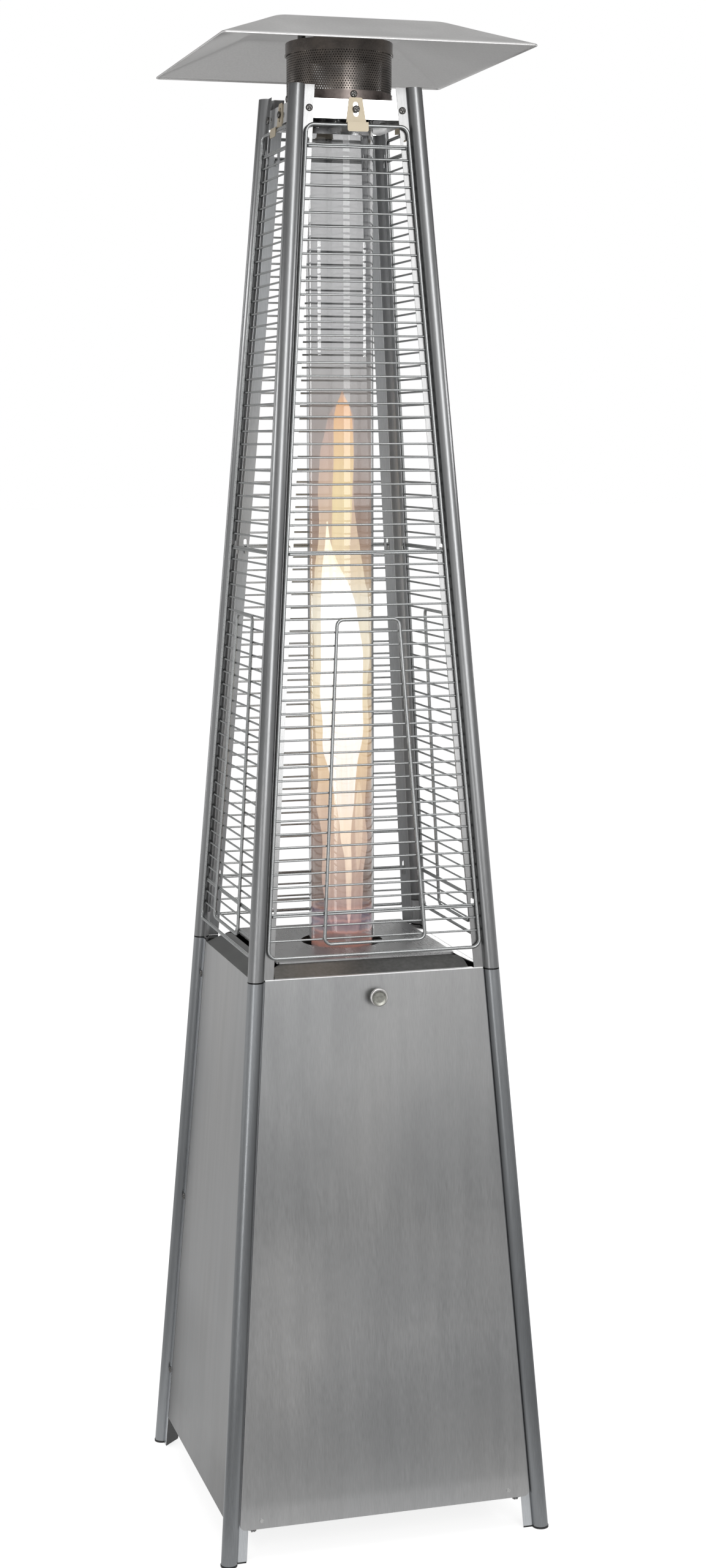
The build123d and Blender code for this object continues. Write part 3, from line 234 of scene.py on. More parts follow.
def makeLamps():
    for name, (place, aim, width, height, watts) in studioLamps.items():
        lampData = bpy.data.lights.new(name, "AREA")
        lampData.shape = "RECTANGLE"
        lampData.size, lampData.size_y, lampData.energy = width, height, watts
        lamp = addObject(name, lampData)
        turn = (Vector(aim) - Vector(place)).to_track_quat("-Z", "Y")
        lamp.matrix_world = Matrix.LocRotScale(Vector(place), turn, None)
        lamp.visible_camera = lamp.visible_transmission = False


floorSetup = {
    "half": 60.0,
    "paint": 0.50,
    "glow": 0.78,
    "bounce": 0.75,
    # distance from the axis and the level that polished metal sees there
    "sheen": [(0.0, 0.78), (0.42, 0.72), (0.60, 0.54), (1.0, 0.40), (1.7, 0.42), (3.1, 0.38), (4.5, 0.50),
              (7.5, 0.80)],
    "sheenReach": 8.0,
    # share of it along an axis: from, to, share before, share after
    "sheenShares": [("X", 0.1, 1.3, 1.0, 0.86), ("Y", -0.2, 0.6, 1.0, 1.45), ("Y", 4.6, 8.5, 1.0, 0.30)],
}


def makeFloor():
    half, reach = floorSetup["half"], floorSetup["sheenReach"]
    mesh = bpy.data.meshes.new("studioFloor")
    corners = [(-half, -half, 0), (half, -half, 0), (half, half, 0), (-half, half, 0)]
    mesh.from_pydata(corners, [], [(0, 1, 2, 3)])
    material = bpy.data.materials.new("floorPaper")
    material.use_nodes = True
    tree = material.node_tree
    tree.nodes.clear()
    along = splitAxes(tree, objectPlace(tree))
    distance = distanceOf(tree, X=along["X"], Y=along["Y"])
    level = toneRamp(tree, maths(tree, "DIVIDE", distance, reach),
                     [(at / reach, grey(part)) for at, part in floorSetup["sheen"]], "EASE")
    for axis, *limits in floorSetup["sheenShares"]:
        level = maths(tree, "MULTIPLY", level, remap(tree, along[axis], *limits, "SMOOTHSTEP"))
    sheen = addNode(tree, "ShaderNodeEmission", {"Color": level})
    paint, bounce = (addNode(tree, "ShaderNodeBsdfDiffuse", {"Color": (*grey(floorSetup[part]), 1)})
                     for part in ("paint", "bounce"))
    glow = addNode(tree, "ShaderNodeEmission", {"Strength": floorSetup["glow"]})
    lit = addNode(tree, "ShaderNodeAddShader", {0: paint, 1: glow})
    ray = addNode(tree, "ShaderNodeLightPath").outputs
    for test, other in (("Is Glossy Ray", sheen), ("Is Diffuse Ray", bounce)):
        lit = addNode(tree, "ShaderNodeMixShader", {"Fac": ray[test], 1: lit, 2: other})
    addNode(tree, "ShaderNodeOutputMaterial", {"Surface": lit})
    mesh.materials.append(material)
    floor = addObject("studioFloor", mesh)
    floor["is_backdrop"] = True


makeCamera()
makeWorld()
makeLamps()
makeFloor()
print("camera, lamps and floor made")


# Helpers for the finishes

noiseSpan = (0.3, 0.7)  # a noise stays mostly between these


def newFinish(name, sockets):
    material = bpy.data.materials.new(name)
    material.use_nodes = True
    tree = material.node_tree
    for socket, value in sockets.items():
        tree.nodes["Principled BSDF"].inputs[socket].default_value = value
    return material, tree


def feed(tree, socket, output):
    tree.links.new(output, tree.nodes["Principled BSDF"].inputs[socket])


def axisOf(tree, axis):
    return splitAxes(tree, objectPlace(tree))[axis]


def grainNoise(tree, stretch, detail=3.0, distortion=0.0, shift=(0, 0, 0)):
    # stretch is one scale, or one for each axis
    scale = stretch if isinstance(stretch, tuple) else (stretch,) * 3
    mapping = addNode(tree, "ShaderNodeMapping", {
        "Vector": objectPlace(tree), "Location": shift, "Scale": scale})
    noise = addNode(tree, "ShaderNodeTexNoise", {
        "Vector": mapping, "Scale": 1.0, "Detail": detail, "Distortion": distortion})
    return noise.outputs["Fac"]


def noiseEnds(low, high):
    return list(zip(noiseSpan, (low, high)))


def twoTones(tree, noise, low, high):
    return toneRamp(tree, noise, noiseEnds(low, high))


def spread(tree, noise, low, high):
    return remap(tree, noise, *noiseSpan, low, high)


def bumpFrom(tree, height, strength, distance):
    bump = addNode(tree, "ShaderNodeBump", {"Height": height, "Strength": strength, "Distance": distance})
    feed(tree, "Normal", bump.outputs["Normal"])


def brushTangent(tree):
    # the sheet is brushed upright, so its gloss spreads sideways
    normal = addNode(tree, "ShaderNodeNewGeometry").outputs["Normal"]
    cross = addNode(tree, "ShaderNodeVectorMath", {0: normal, 1: (0, 0, 1)}, operation="CROSS_PRODUCT")
    feed(tree, "Tangent", cross.outputs["Vector"])


# The panels' and the door's brushed sheet

brushed = {
    "tone": grey(0.56),
    "contrast": 0.06,  # of the brushed lines
    "roughness": (0.30, 0.38),
    "roughClouds": (-0.03, 0.05),
    "anisotropy": 0.45,
    "fine": ((900.0, 900.0, 5.0), 4.0),  # lines along the height
    "broad": ((55.0, 55.0, 0.9), 2.0, 0.0, (3.1, 1.7, 0.4)),
    "cloud": ((5.0, 5.0, 3.0), 3.0, 0.0, (0.3, 4.2, 1.9)),
    "broadTones": [(0.35, grey(0.93)), (0.65, grey(1.0))],
    "cloudTones": [(0.35, grey(0.92, -0.01)), (0.7, grey(1.0, 0.004))],
    "bump": (0.12, 0.0003),
    "hem": 0.0013,  # height of the door's rolled top edge, where a highlight is painted
    "hemPaintedHighlight": grey(0.97),
    # painted reflection and shade: shares of the tone by height, as parts of the span
    "span": 0.9,
    "door": [(0.05, 0.92), (0.085, 0.90), (0.10, 0.80), (0.16, 0.80), (0.35, 0.94), (0.46, 0.88),
             (0.56, 0.76), (0.66, 0.76), (0.80, 0.80), (0.96, 0.72)],
    "panel": [(0.05, 0.42), (0.12, 0.45), (0.35, 0.82), (0.50, 0.79), (0.66, 0.79), (0.80, 0.77),
              (0.96, 0.73)],
}


def brushedSteel(name, paintedReflectionByHeight, paintedHighlightFrom=None):
    material, tree = newFinish(name, {"Metallic": 1.0, "Anisotropic": brushed["anisotropy"]})
    tone, contrast = brushed["tone"], brushed["contrast"]
    fine, broad, cloud = (grainNoise(tree, *brushed[part]) for part in ("fine", "broad", "cloud"))
    lines = twoTones(tree, fine, scaled(tone, 1 - contrast), scaled(tone, 1 + contrast))
    bands = toneRamp(tree, broad, brushed["broadTones"])
    stain = toneRamp(tree, cloud, brushed["cloudTones"])
    height = axisOf(tree, "Z")
    # painted reflection and shade: lighter and darker bands up the sheet, by height
    fade = toneRamp(tree, maths(tree, "DIVIDE", height, brushed["span"]),
                    [(at, grey(level)) for at, level in paintedReflectionByHeight])
    colour = multiplied(tree, lines, bands, stain, fade)
    if paintedHighlightFrom:  # a painted highlight along the rolled edge
        colour = mixTones(tree, maths(tree, "GREATER_THAN", height, paintedHighlightFrom), colour, brushed["hemPaintedHighlight"])
    feed(tree, "Base Color", colour)
    feed(tree, "Roughness", maths(tree, "ADD", spread(tree, fine, *brushed["roughness"]),
                                  spread(tree, cloud, *brushed["roughClouds"])))
    bumpFrom(tree, fine, *brushed["bump"])
    brushTangent(tree)
    return material


postLook = {
    # painted light and shade: lower noses and flanges are lifted against the shade low down, upper flanges
    # darkened under the bright lamp
    "noseLowPaintedLight": grey(0.32, -0.035),
    "noseHigh": grey(0.285, -0.012),
    "hollowPaintedLight": grey(0.82, -0.01),  # inside the round nose, painted light that lifts the shade in the hollow
    "inwardPaintedLight": grey(0.50, -0.02),  # the flanges' inner sides, painted light and shade of their own
    "flangeLowPaintedLight": grey(0.72, -0.03),
    "flangeHighPaintedShade": grey(0.34),
    "seamTone": grey(0.03),
    "noseReach": 0.0128,  # round nose, from its middle
    "noseEdge": 0.001,
    "insideReach": 0.0116,
    "skin": 0.0005,
    "seam": 0.0011,  # half-height of the dark joint line
    "roughness": (0.27, 0.30),  # flanges, noses
    "roughInside": 0.55,
    "roughClouds": (-0.03, 0.04),
    "anisotropy": 0.5,
    "lineTone": grey(0.86),
    "cloudTone": grey(0.9),
    "cloud": ((9.0, 9.0, 4.0), 3.0),
    "bump": (0.08, 0.0002),
}


def postFinish():
    # satin round noses and bare polished flanges; the lower posts are bluer, and the lower and upper tones
    # are painted light and shade
    look = postLook
    material, tree = newFinish("satinPost", {"Metallic": 1.0, "Anisotropic": look["anisotropy"]})
    fine, cloud = grainNoise(tree, *brushed["fine"]), grainNoise(tree, *look["cloud"])
    alongX, alongY = (maths(tree, "ABSOLUTE", axisOf(tree, axis)) for axis in "XY")
    height = axisOf(tree, "Z")
    fall = maths(tree, "MULTIPLY", height, heater["slope"])
    half = maths(tree, "SUBTRACT", heater["baseHalf"], fall)
    fromCorner = maths(tree, "ADD", maths(tree, "MINIMUM", alongX, alongY), fall)
    noseFrom = heater["baseHalf"] - look["noseReach"]
    onNose = remap(tree, fromCorner, noseFrom - look["noseEdge"], noseFrom, 0.0, 1.0)
    upper = maths(tree, "GREATER_THAN", height, heater["joint"])
    reach = distanceOf(tree, X=maths(tree, "SUBTRACT", alongX, half), Y=maths(tree, "SUBTRACT", alongY, half))
    inside = maths(tree, "LESS_THAN", reach, look["insideReach"])
    inwardPaintedLight = maths(tree, "LESS_THAN", maths(tree, "MAXIMUM", alongX, alongY),
                   maths(tree, "SUBTRACT", half, look["skin"]))
    seam = maths(tree, "COMPARE", height, heater["joint"], look["seam"])
    flange = mixTones(tree, upper, look["flangeLowPaintedLight"], look["flangeHighPaintedShade"])
    nose = mixTones(tree, upper, look["noseLowPaintedLight"], look["noseHigh"])
    colour = mixTones(tree, onNose, flange, nose)
    # painted light and shade on the flanges' inner sides and inside the nose; the dark seam is the real joint
    for where, tone in ((inwardPaintedLight, look["inwardPaintedLight"]), (inside, look["hollowPaintedLight"]), (seam, look["seamTone"])):
        colour = mixTones(tree, where, colour, tone)
    feed(tree, "Base Color", multiplied(tree, colour, twoTones(tree, fine, look["lineTone"], grey(1.0)),
                                        twoTones(tree, cloud, look["cloudTone"], grey(1.0))))
    hidden = maths(tree, "MULTIPLY", look["roughInside"], maths(tree, "MAXIMUM", inside, inwardPaintedLight))
    rough = maths(tree, "MAXIMUM", remap(tree, onNose, 0.0, 1.0, *look["roughness"]), hidden)
    feed(tree, "Roughness", maths(tree, "ADD", rough, spread(tree, cloud, *look["roughClouds"])))
    bumpFrom(tree, fine, *look["bump"])
    brushTangent(tree)
    return material


# The other finishes, made from these few kinds

def plainFinish(name, look):
    # cloud, speck: a noise's stretch, detail, distortion; base: a noise and its stops; layers: a noise
    # and its low tone; roughness: noises and their two ends; bump: a noise, its strength and depth
    material, tree = newFinish(name, look.get("sockets", {"Metallic": 1.0}))
    noises = {part: grainNoise(tree, *look[part]) for part in ("cloud", "speck")}
    part, stops = look["base"]
    colour = toneRamp(tree, noises[part], stops)
    for part, tone in look.get("layers", []):
        colour = multiplied(tree, colour, twoTones(tree, noises[part], tone, grey(1.0)))
    if look.get("rim"):
        middle, start, rimTone = look["rim"]
        reach = distanceOf(tree, X=axisOf(tree, "X"), Z=maths(tree, "SUBTRACT", axisOf(tree, "Z"), middle))
        colour = mixTones(tree, maths(tree, "GREATER_THAN", reach, start), colour, rimTone)
    feed(tree, "Base Color", colour)
    rough = 0.0
    for part, *ends in look["roughness"]:
        rough = maths(tree, "ADD", rough, spread(tree, noises[part], *ends))
    feed(tree, "Roughness", rough)
    part, *bump = look["bump"]
    bumpFrom(tree, noises[part], *bump)
    return material


def polishedSheet(name, tone, roughness, contrast=0.12):
    return plainFinish(name, {
        "cloud": ((14.0, 14.0, 10.0), 4.0, 0.6),
        "speck": ((400.0, 30.0, 400.0), 3.0),
        "base": ("cloud", noiseEnds(scaled(tone, 1 - contrast), tone)),
        "roughness": [("cloud", roughness, roughness + 0.06), ("speck", -0.02, 0.02)],
        "bump": ("cloud", 0.05, 0.0006),
    })


def fineMetal(name, tone, roughness, speckle=260.0, depth=0.0002, rim=None):
    # rim: a round face's middle height, where its rim starts and the rim's tone
    return plainFinish(name, {
        "cloud": (22.0,),
        "speck": (speckle, 5.0),
        "base": ("speck", noiseEnds(scaled(tone, 0.82), scaled(tone, 1.1))),
        "layers": [("cloud", grey(0.86))],
        "roughness": [("speck", roughness - 0.05, roughness + 0.08)],
        "bump": ("speck", 0.2, depth),
        "rim": rim,
    })


def mouldedPlastic(name, tone, roughness, grain=700.0):
    return plainFinish(name, {
        "sockets": {"Specular IOR Level": 0.4},
        "cloud": (30.0,),
        "speck": (grain,),
        "base": ("cloud", noiseEnds(scaled(tone, 0.8), scaled(tone, 1.25))),
        "roughness": [("speck", roughness - 0.06, roughness + 0.08)],
        "bump": ("speck", 0.25, 0.0002),
    })


heatedSteel = {  # blackened and straw-brown from the burner's heat
    "cloud": ((26.0, 26.0, 34.0), 5.0, 0.5),
    "speck": (420.0, 4.0),
    "base": ("cloud", [(0.28, (0.092, 0.084, 0.078)), (0.5, (0.166, 0.148, 0.136)),
                       (0.74, (0.27, 0.234, 0.207))]),
    "layers": [("speck", grey(0.8))],
    "roughness": [("cloud", 0.34, 0.20)],
    "bump": ("speck", 0.2, 0.0002),
}
aluminium = grey(0.69, 0.008)
satinSheet = {
    "sockets": {"Metallic": 1.0, "Specular Tint": (0.6, 0.6, 0.6, 1)},
    "cloud": ((8.0, 8.0, 20.0), 4.0, 0.4),
    "speck": (320.0, 1.0),
    "base": ("speck", noiseEnds(scaled(aluminium, 0.96), scaled(aluminium, 1.02))),
    "layers": [("cloud", grey(0.93))],
    "roughness": [("cloud", 0.42, 0.52)],
    "bump": ("speck", 0.05, 0.00003),
}
glassLook = {
    "sockets": {"Base Color": (0.696, 0.697, 0.700, 1), "IOR": 1.47, "Specular IOR Level": 0.25,
                "Transmission Weight": 1.0},
    "smear": ((30.0, 30.0, 6.0), 4.0),
    "roughness": (0.45, 0.8, 0.0, 0.012),  # from, to of the smear, then the values there
    "bump": (0.003, 0.0002),
}


def tubeGlass():
    material, tree = newFinish("clearTube", glassLook["sockets"])
    smear = grainNoise(tree, *glassLook["smear"])
    feed(tree, "Roughness", remap(tree, smear, *glassLook["roughness"]))
    bumpFrom(tree, smear, *glassLook["bump"])
    return material


knobRim = (heater["pullHeight"], 0.0112, grey(0.66, 0.02))  # a satin face, given a lighter tone from this radius out to its edge
finishes = {
    "post_steel": postFinish(),
    "panel_steel": brushedSteel("brushedPanel", brushed["panel"]),
    "satin_steel": fineMetal("satinKnob", (0.27, 0.27, 0.245), 0.30, rim=knobRim),
    "deck_steel": polishedSheet("polishedDeck", grey(0.34), 0.26),
    "frame_steel": fineMetal("dullFrame", (0.23, 0.23, 0.225), 0.34, 180.0),
    "fastener_steel": fineMetal("darkFastener", (0.16, 0.155, 0.15), 0.30, 900.0),
    "screen_steel": plainFinish("heatedSteel", heatedSteel),
    "reflector_sheet": plainFinish("satinAluminium", satinSheet),
    "guard_wire": fineMetal("brightWire", (0.40, 0.41, 0.41), 0.30, 700.0, 0.00004),
    "tube_glass": tubeGlass(),
    "seal": mouldedPlastic("darkSeal", (0.035, 0.034, 0.033), 0.75),
    "brass": fineMetal("castBrass", (0.55, 0.40, 0.16), 0.34, 300.0),
    "ceramic": mouldedPlastic("glazedCeramic", (0.72, 0.70, 0.65), 0.22, 200.0),
    "magnet": mouldedPlastic("magnetCase", (0.03, 0.03, 0.03), 0.5),
    "black_plastic": mouldedPlastic("blackPlastic", (0.025, 0.025, 0.026), 0.42),
}
# single nodes that look different from the rest of their slot
ownFinishes = {
    "guard_clips": polishedSheet("strawClip", (0.50, 0.44, 0.34), 0.50, 0.05),
    "top_frame": polishedSheet("mirrorApron", grey(0.93), 0.07, 0.03),
    "door_panel": brushedSteel("brushedDoor", brushed["door"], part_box("door_panel")[1].z - brushed["hem"]),
    "screen_band": fineMetal("strawBand", (0.21, 0.178, 0.165), 0.36),
    "door_ear_rivets": fineMetal("brightRivet", (0.62, 0.62, 0.61), 0.30, 900.0),
}
for node in cadNodes.values():
    for slot in node.material_slots:
        slot.material = finishes[slot.material.name.split(".")[0]]
for nodeName, finish in ownFinishes.items():
    cadNodes[nodeName].material_slots[0].material = finish
print("finishes made")


# Mesh helpers

weldDistance = 1e-6


def rawMesh(name, points, faces=()):
    mesh = bpy.data.meshes.new(name)
    mesh.from_pydata([tuple(point) for point in points], [], faces)
    for face in mesh.polygons:
        face.use_smooth = True
    return mesh


def meshPiece(name, points, faces, material):
    mesh = rawMesh(name, points, faces)
    mesh.materials.append(material)
    work = bmesh.new()
    work.from_mesh(mesh)
    bmesh.ops.remove_doubles(work, verts=work.verts, dist=weldDistance)
    bmesh.ops.recalc_face_normals(work, faces=work.faces)
    work.to_mesh(mesh)
    work.free()
    return addObject(name, mesh)


def sharpen(piece, degrees):
    # edges sharper than this angle shade as edges
    work = bmesh.new()
    work.from_mesh(piece.data)
    for edge in work.edges:
        edge.smooth = edge.calc_face_angle(0.0) < radians(degrees)
    work.to_mesh(piece.data)
    work.free()


def joinRings(rings, segments):
    # faces from each ring of points to the next; a ring may be a single point
    faces = []
    for lower, higher in zip(rings, rings[1:]):
        for step in range(segments):
            after = (step + 1) % segments
            corners = [lower[step % len(lower)], lower[after % len(lower)],
                       higher[after % len(higher)], higher[step % len(higher)]]
            faces.append(tuple(dict.fromkeys(corners)))  # each point once
    return faces


def latheRings(profiles, segments, closed=False):
    # surfaces of revolution about z; a profile ends on the axis, or closes on itself
    points, faces = [], []
    for profile in profiles:
        rows = []
        for radius, z in profile:
            count = segments if radius > 0 else 1
            rows.append(range(len(points), len(points) + count))
            for step in range(count):
                angle = tau * step / segments
                points.append(Vector((radius * cos(angle), radius * sin(angle), z)))
        if closed:
            rows.append(rows[0])
        faces += joinRings(rows, segments)
    return points, faces


def evenSteps(start, end, count):
    # the start is left out, the end is in
    return [start + (end - start) * step / count for step in range(1, count + 1)]


# The reflector: one folded sheet with soft bends and a turned-down hem

reflectorShape = {
    "flatHalf": 0.120,
    "sheet": 0.0010,
    "hem": 0.0030,
    # the hem's section: in from the rim's edge, up from its foot
    "hemProfile": [(0.0003, 0.0026), (0.0, 0.0020), (0.0, 0.0004), (0.0005, 0.0), (0.0010, 0.0004),
                   (0.0010, 0.0014)],
    "rimRound": 0.0012,
    "tipRadius": 0.006,
    "hubRadius": 0.0156,  # the corners' radius grows to this towards the middle
    "roundest": 0.9,  # largest radius, as a share of the half width
    "bend": 0.011,  # half-length of the soft bend at the flat top
    "innerSetback": 0.0004,
    "flatRings": (0.02, 0.05, 0.08, 0.1),
    "bendSteps": 10,
    "slopeSteps": 16,
    "perSide": 26,
    "cornerSteps": 6,
    "slack": 0.0005,  # slow waviness of the sheet
    "waveX": (23.0, 1.3),
    "waveY": (19.0, -0.7),
    "waveFrom": 0.125,
    "waveFade": 0.03,
}


def roundedSquare(half, radius, perSide, cornerSteps):
    # the same number of points at every size, so that rings join one to one
    straight = half - radius
    side = [Vector((half, straight * (2 * step / perSide - 1))) for step in range(perSide)]
    for step in range(cornerSteps):
        angle = pi / 2 * step / cornerSteps
        side.append(Vector((straight + radius * cos(angle), straight + radius * sin(angle))))
    turns = [Matrix.Rotation(pi / 2 * quarter, 2) for quarter in range(4)]
    return [turn @ point for turn in turns for point in side]


def makeReflector():
    shape = reflectorShape
    low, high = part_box("reflector")
    rimHalf, topZ, hemZ = high.x, high.z, low.z
    sheet, bend, flatHalf = shape["sheet"], shape["bend"], shape["flatHalf"]
    grade = (topZ - hemZ - shape["hem"]) / (rimHalf - flatHalf)

    def heightAt(half):
        # straight slope from the rim, eased into the flat top
        run = half - flatHalf
        if run <= -bend:
            return topZ
        if run >= bend:
            return topZ - grade * run
        return topZ - grade * (run + bend) ** 2 / (4 * bend)

    bendLow, bendHigh = flatHalf - bend, flatHalf + bend
    outer = [*shape["flatRings"], bendLow, *evenSteps(bendLow, bendHigh, shape["bendSteps"]),
             *evenSteps(bendHigh, rimHalf - shape["rimRound"], shape["slopeSteps"])]
    profile = [(half, heightAt(half)) for half in outer]
    profile += [(rimHalf - inset, hemZ + rise) for inset, rise in shape["hemProfile"]]
    profile += [(half - (shape["innerSetback"] if half > flatHalf else 0), heightAt(half) - sheet)
                for half in reversed(outer)]
    points, rows = [], []
    count = 4 * (shape["perSide"] + shape["cornerSteps"])
    (rateX, phaseX), (rateY, phaseY) = shape["waveX"], shape["waveY"]
    for half, z in profile:
        radius = shape["hubRadius"] + (shape["tipRadius"] - shape["hubRadius"]) * half / rimHalf
        fade = min(1.0, (rimHalf - half) / shape["waveFade"])
        fade *= min(1.0, max(0.0, half - shape["waveFrom"]) / shape["waveFade"])
        rows.append(range(len(points), len(points) + count))
        radius = min(radius, half * shape["roundest"])
        for point in roundedSquare(half, radius, shape["perSide"], shape["cornerSteps"]):
            wave = sin(point.x * rateX + phaseX) * sin(point.y * rateY + phaseY)
            points.append(Vector((point.x, point.y, z - abs(wave * fade * shape["slack"]))))
    faces = joinRings(rows, count)
    for row, z in ((rows[0], topZ), (rows[-1], topZ - sheet)):
        faces += joinRings([row, [len(points)]], count)
        points.append(Vector((0, 0, z)))
    piece = meshPiece("reflectorSheet", points, faces, finishes["reflector_sheet"])
    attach(piece, "root")
    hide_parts("reflector")


makeReflector()
print("reflector made")


# Geometry nodes: helpers for the trees

def newTree(name, inputs):
    tree = bpy.data.node_groups.new(name, "GeometryNodeTree")
    tree.interface.new_socket("Geometry", in_out="INPUT", socket_type="NodeSocketGeometry")
    for label, kind in inputs.items():
        tree.interface.new_socket(label, in_out="INPUT", socket_type="NodeSocket" + kind)
    tree.interface.new_socket("Geometry", in_out="OUTPUT", socket_type="NodeSocketGeometry")
    return tree, tree.nodes.new("NodeGroupInput").outputs


def copyOnto(tree, points, part, **more):
    # real copies of a part's mesh on the points
    mesh = addNode(tree, "GeometryNodeObjectInfo", {"Object": part}).outputs["Geometry"]
    copies = addNode(tree, "GeometryNodeInstanceOnPoints", {"Points": points, "Instance": mesh, **more})
    return addNode(tree, "GeometryNodeRealizeInstances", {0: copies})


def finishTree(tree, geometry, finish):
    paint = addNode(tree, "GeometryNodeSetMaterial", {"Geometry": geometry, "Material": finish})
    addNode(tree, "NodeGroupOutput", {0: paint})
    return tree


def growPiece(name, carrierMesh, tree, values):
    # run the tree on a carrier and keep the result as a plain mesh
    carrier = addObject(name + "Carrier", carrierMesh)
    modifier = carrier.modifiers.new("grow", "NODES")
    modifier.node_group = tree
    labels = {item.name: item.identifier for item in tree.interface.items_tree
              if item.item_type == "SOCKET" and item.in_out == "INPUT"}
    for label, value in values.items():
        modifier[labels[label]] = value
    graph = bpy.context.evaluated_depsgraph_get()
    mesh = bpy.data.meshes.new_from_object(carrier.evaluated_get(graph))
    mesh.name = name
    carrier.modifiers.clear()
    bpy.data.objects.remove(carrier)
    return addObject(name, mesh)


# The perforated flame screen

screenShape = {
    "pitch": 0.0039,
    "hole": 0.00105,  # radius
    "wall": 0.0008,
    "margin": 0.0045,  # plain edge above and below the holes
    "holeSides": 8,
    "edgeSegments": 96,
    "edgeOut": 0.0002,  # the plain edges stay inside the holed sheet by this
    "edgeIn": 0.0001,
    "merge": 0.00005,
    "crease": 40,  # degrees
}


def perforatedCell(pitch, hole, wall, sides):
    # one hexagon of sheet with a round hole, standing in the xz plane with its outside at y = 0
    points, faces, rims = [], [], []
    for y in (0.0, wall):
        rings = []
        for reach, count in ((pitch / sqrt(3), 6), (hole, sides)):
            rings.append(range(len(points), len(points) + count))
            for k in range(count):
                turn = tau * k / count
                points.append(Vector((reach * sin(turn), y, reach * cos(turn))))
        rims.append(rings)
    order = sorted(((k + 0.5) / count, count == sides) for count in (6, sides) for k in range(count))
    for turned, (hexagon, rim) in zip((1, -1), rims):
        corner, step = 0, 0
        for _, onRim in order:
            if onRim:
                face = (rim[(step + 1) % sides], rim[step], hexagon[corner % 6])
                step += 1
            else:
                face = (hexagon[corner], hexagon[(corner + 1) % 6], rim[step % sides])
                corner += 1
            faces.append(face[::turned])
    faces += joinRings([rims[0][1], rims[1][1]], sides)
    return points, faces


def screenTree():
    # a flat sheet of staggered cells, bent round the axis
    tree, given = newTree("perforatedScreen", {
        "Radius": "Float", "Columns": "Int", "Rows": "Int", "Row Height": "Float", "Bottom": "Float",
        "Cell": "Object", "Finish": "Material"})
    columns, radius = given["Columns"], given["Radius"]
    index = addNode(tree, "GeometryNodeInputIndex")
    row = maths(tree, "FLOOR", maths(tree, "DIVIDE", index, columns))
    column = maths(tree, "MODULO", index, columns)
    stagger = maths(tree, "MULTIPLY", maths(tree, "MODULO", row, 2.0), 0.5)
    step = maths(tree, "DIVIDE", maths(tree, "MULTIPLY", radius, tau), columns)
    spot = addNode(tree, "ShaderNodeCombineXYZ", {
        "X": maths(tree, "MULTIPLY", maths(tree, "ADD", column, stagger), step),
        "Z": maths(tree, "MULTIPLY_ADD", row, given["Row Height"], given["Bottom"])})
    line = addNode(tree, "GeometryNodeMeshLine", {"Count": maths(tree, "MULTIPLY", columns, given["Rows"])})
    spots = addNode(tree, "GeometryNodeSetPosition", {"Geometry": line, "Position": spot})
    sheet = copyOnto(tree, spots, given["Cell"])
    flat = splitAxes(tree, addNode(tree, "GeometryNodeInputPosition"))
    angle = maths(tree, "DIVIDE", flat["X"], radius)
    out, back = maths(tree, "SUBTRACT", radius, flat["Y"]), maths(tree, "SUBTRACT", flat["Y"], radius)
    bent = addNode(tree, "ShaderNodeCombineXYZ", {
        "X": maths(tree, "MULTIPLY", out, maths(tree, "SINE", angle)),
        "Y": maths(tree, "MULTIPLY", back, maths(tree, "COSINE", angle)), "Z": flat["Z"]})
    wrapped = addNode(tree, "GeometryNodeSetPosition", {"Geometry": sheet, "Position": bent})
    merged = addNode(tree, "GeometryNodeMergeByDistance", {
        "Geometry": wrapped, "Distance": screenShape["merge"]})
    return finishTree(tree, merged, given["Finish"])


def makeScreen():
    shape = screenShape
    low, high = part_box("flame_screen")
    radius, wall = high.x, shape["wall"]
    columns = int(tau * radius / shape["pitch"])
    pitch = tau * radius / columns
    rowHeight = pitch * sqrt(3) / 2
    rows = int((high.z - low.z - 2 * shape["margin"]) / rowHeight)
    holedSpan = (rows - 1) * rowHeight
    bottom = (low.z + high.z - holedSpan) / 2
    cellMesh = rawMesh("screenCell", *perforatedCell(pitch, shape["hole"], wall, shape["holeSides"]))
    sheet = growPiece("perforatedScreen", bpy.data.meshes.new("screenCarrier"), screenTree(), {
        "Radius": radius, "Columns": columns, "Rows": rows, "Row Height": rowHeight, "Bottom": bottom,
        "Cell": bpy.data.objects.new("screenCell", cellMesh), "Finish": finishes["screen_steel"]})
    sharpen(sheet, shape["crease"])
    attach(sheet, "root")
    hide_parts("flame_screen")
    # plain edges that the band and the cap hold
    halfCell = pitch / sqrt(3) / 2
    outside, inside = radius - shape["edgeOut"], radius - wall + shape["edgeIn"]
    sections = [[(outside, lowZ), (outside, highZ), (inside, highZ), (inside, lowZ)]
                for lowZ, highZ in ((low.z, bottom - halfCell), (bottom + holedSpan + halfCell, high.z))]
    points, faces = latheRings(sections, shape["edgeSegments"], closed=True)
    rims = meshPiece("screenEdges", points, faces, finishes["screen_steel"])
    sharpen(rims, shape["crease"])
    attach(rims, "root")


makeScreen()
print("screen made")


# Pan-head screws with a cross recess

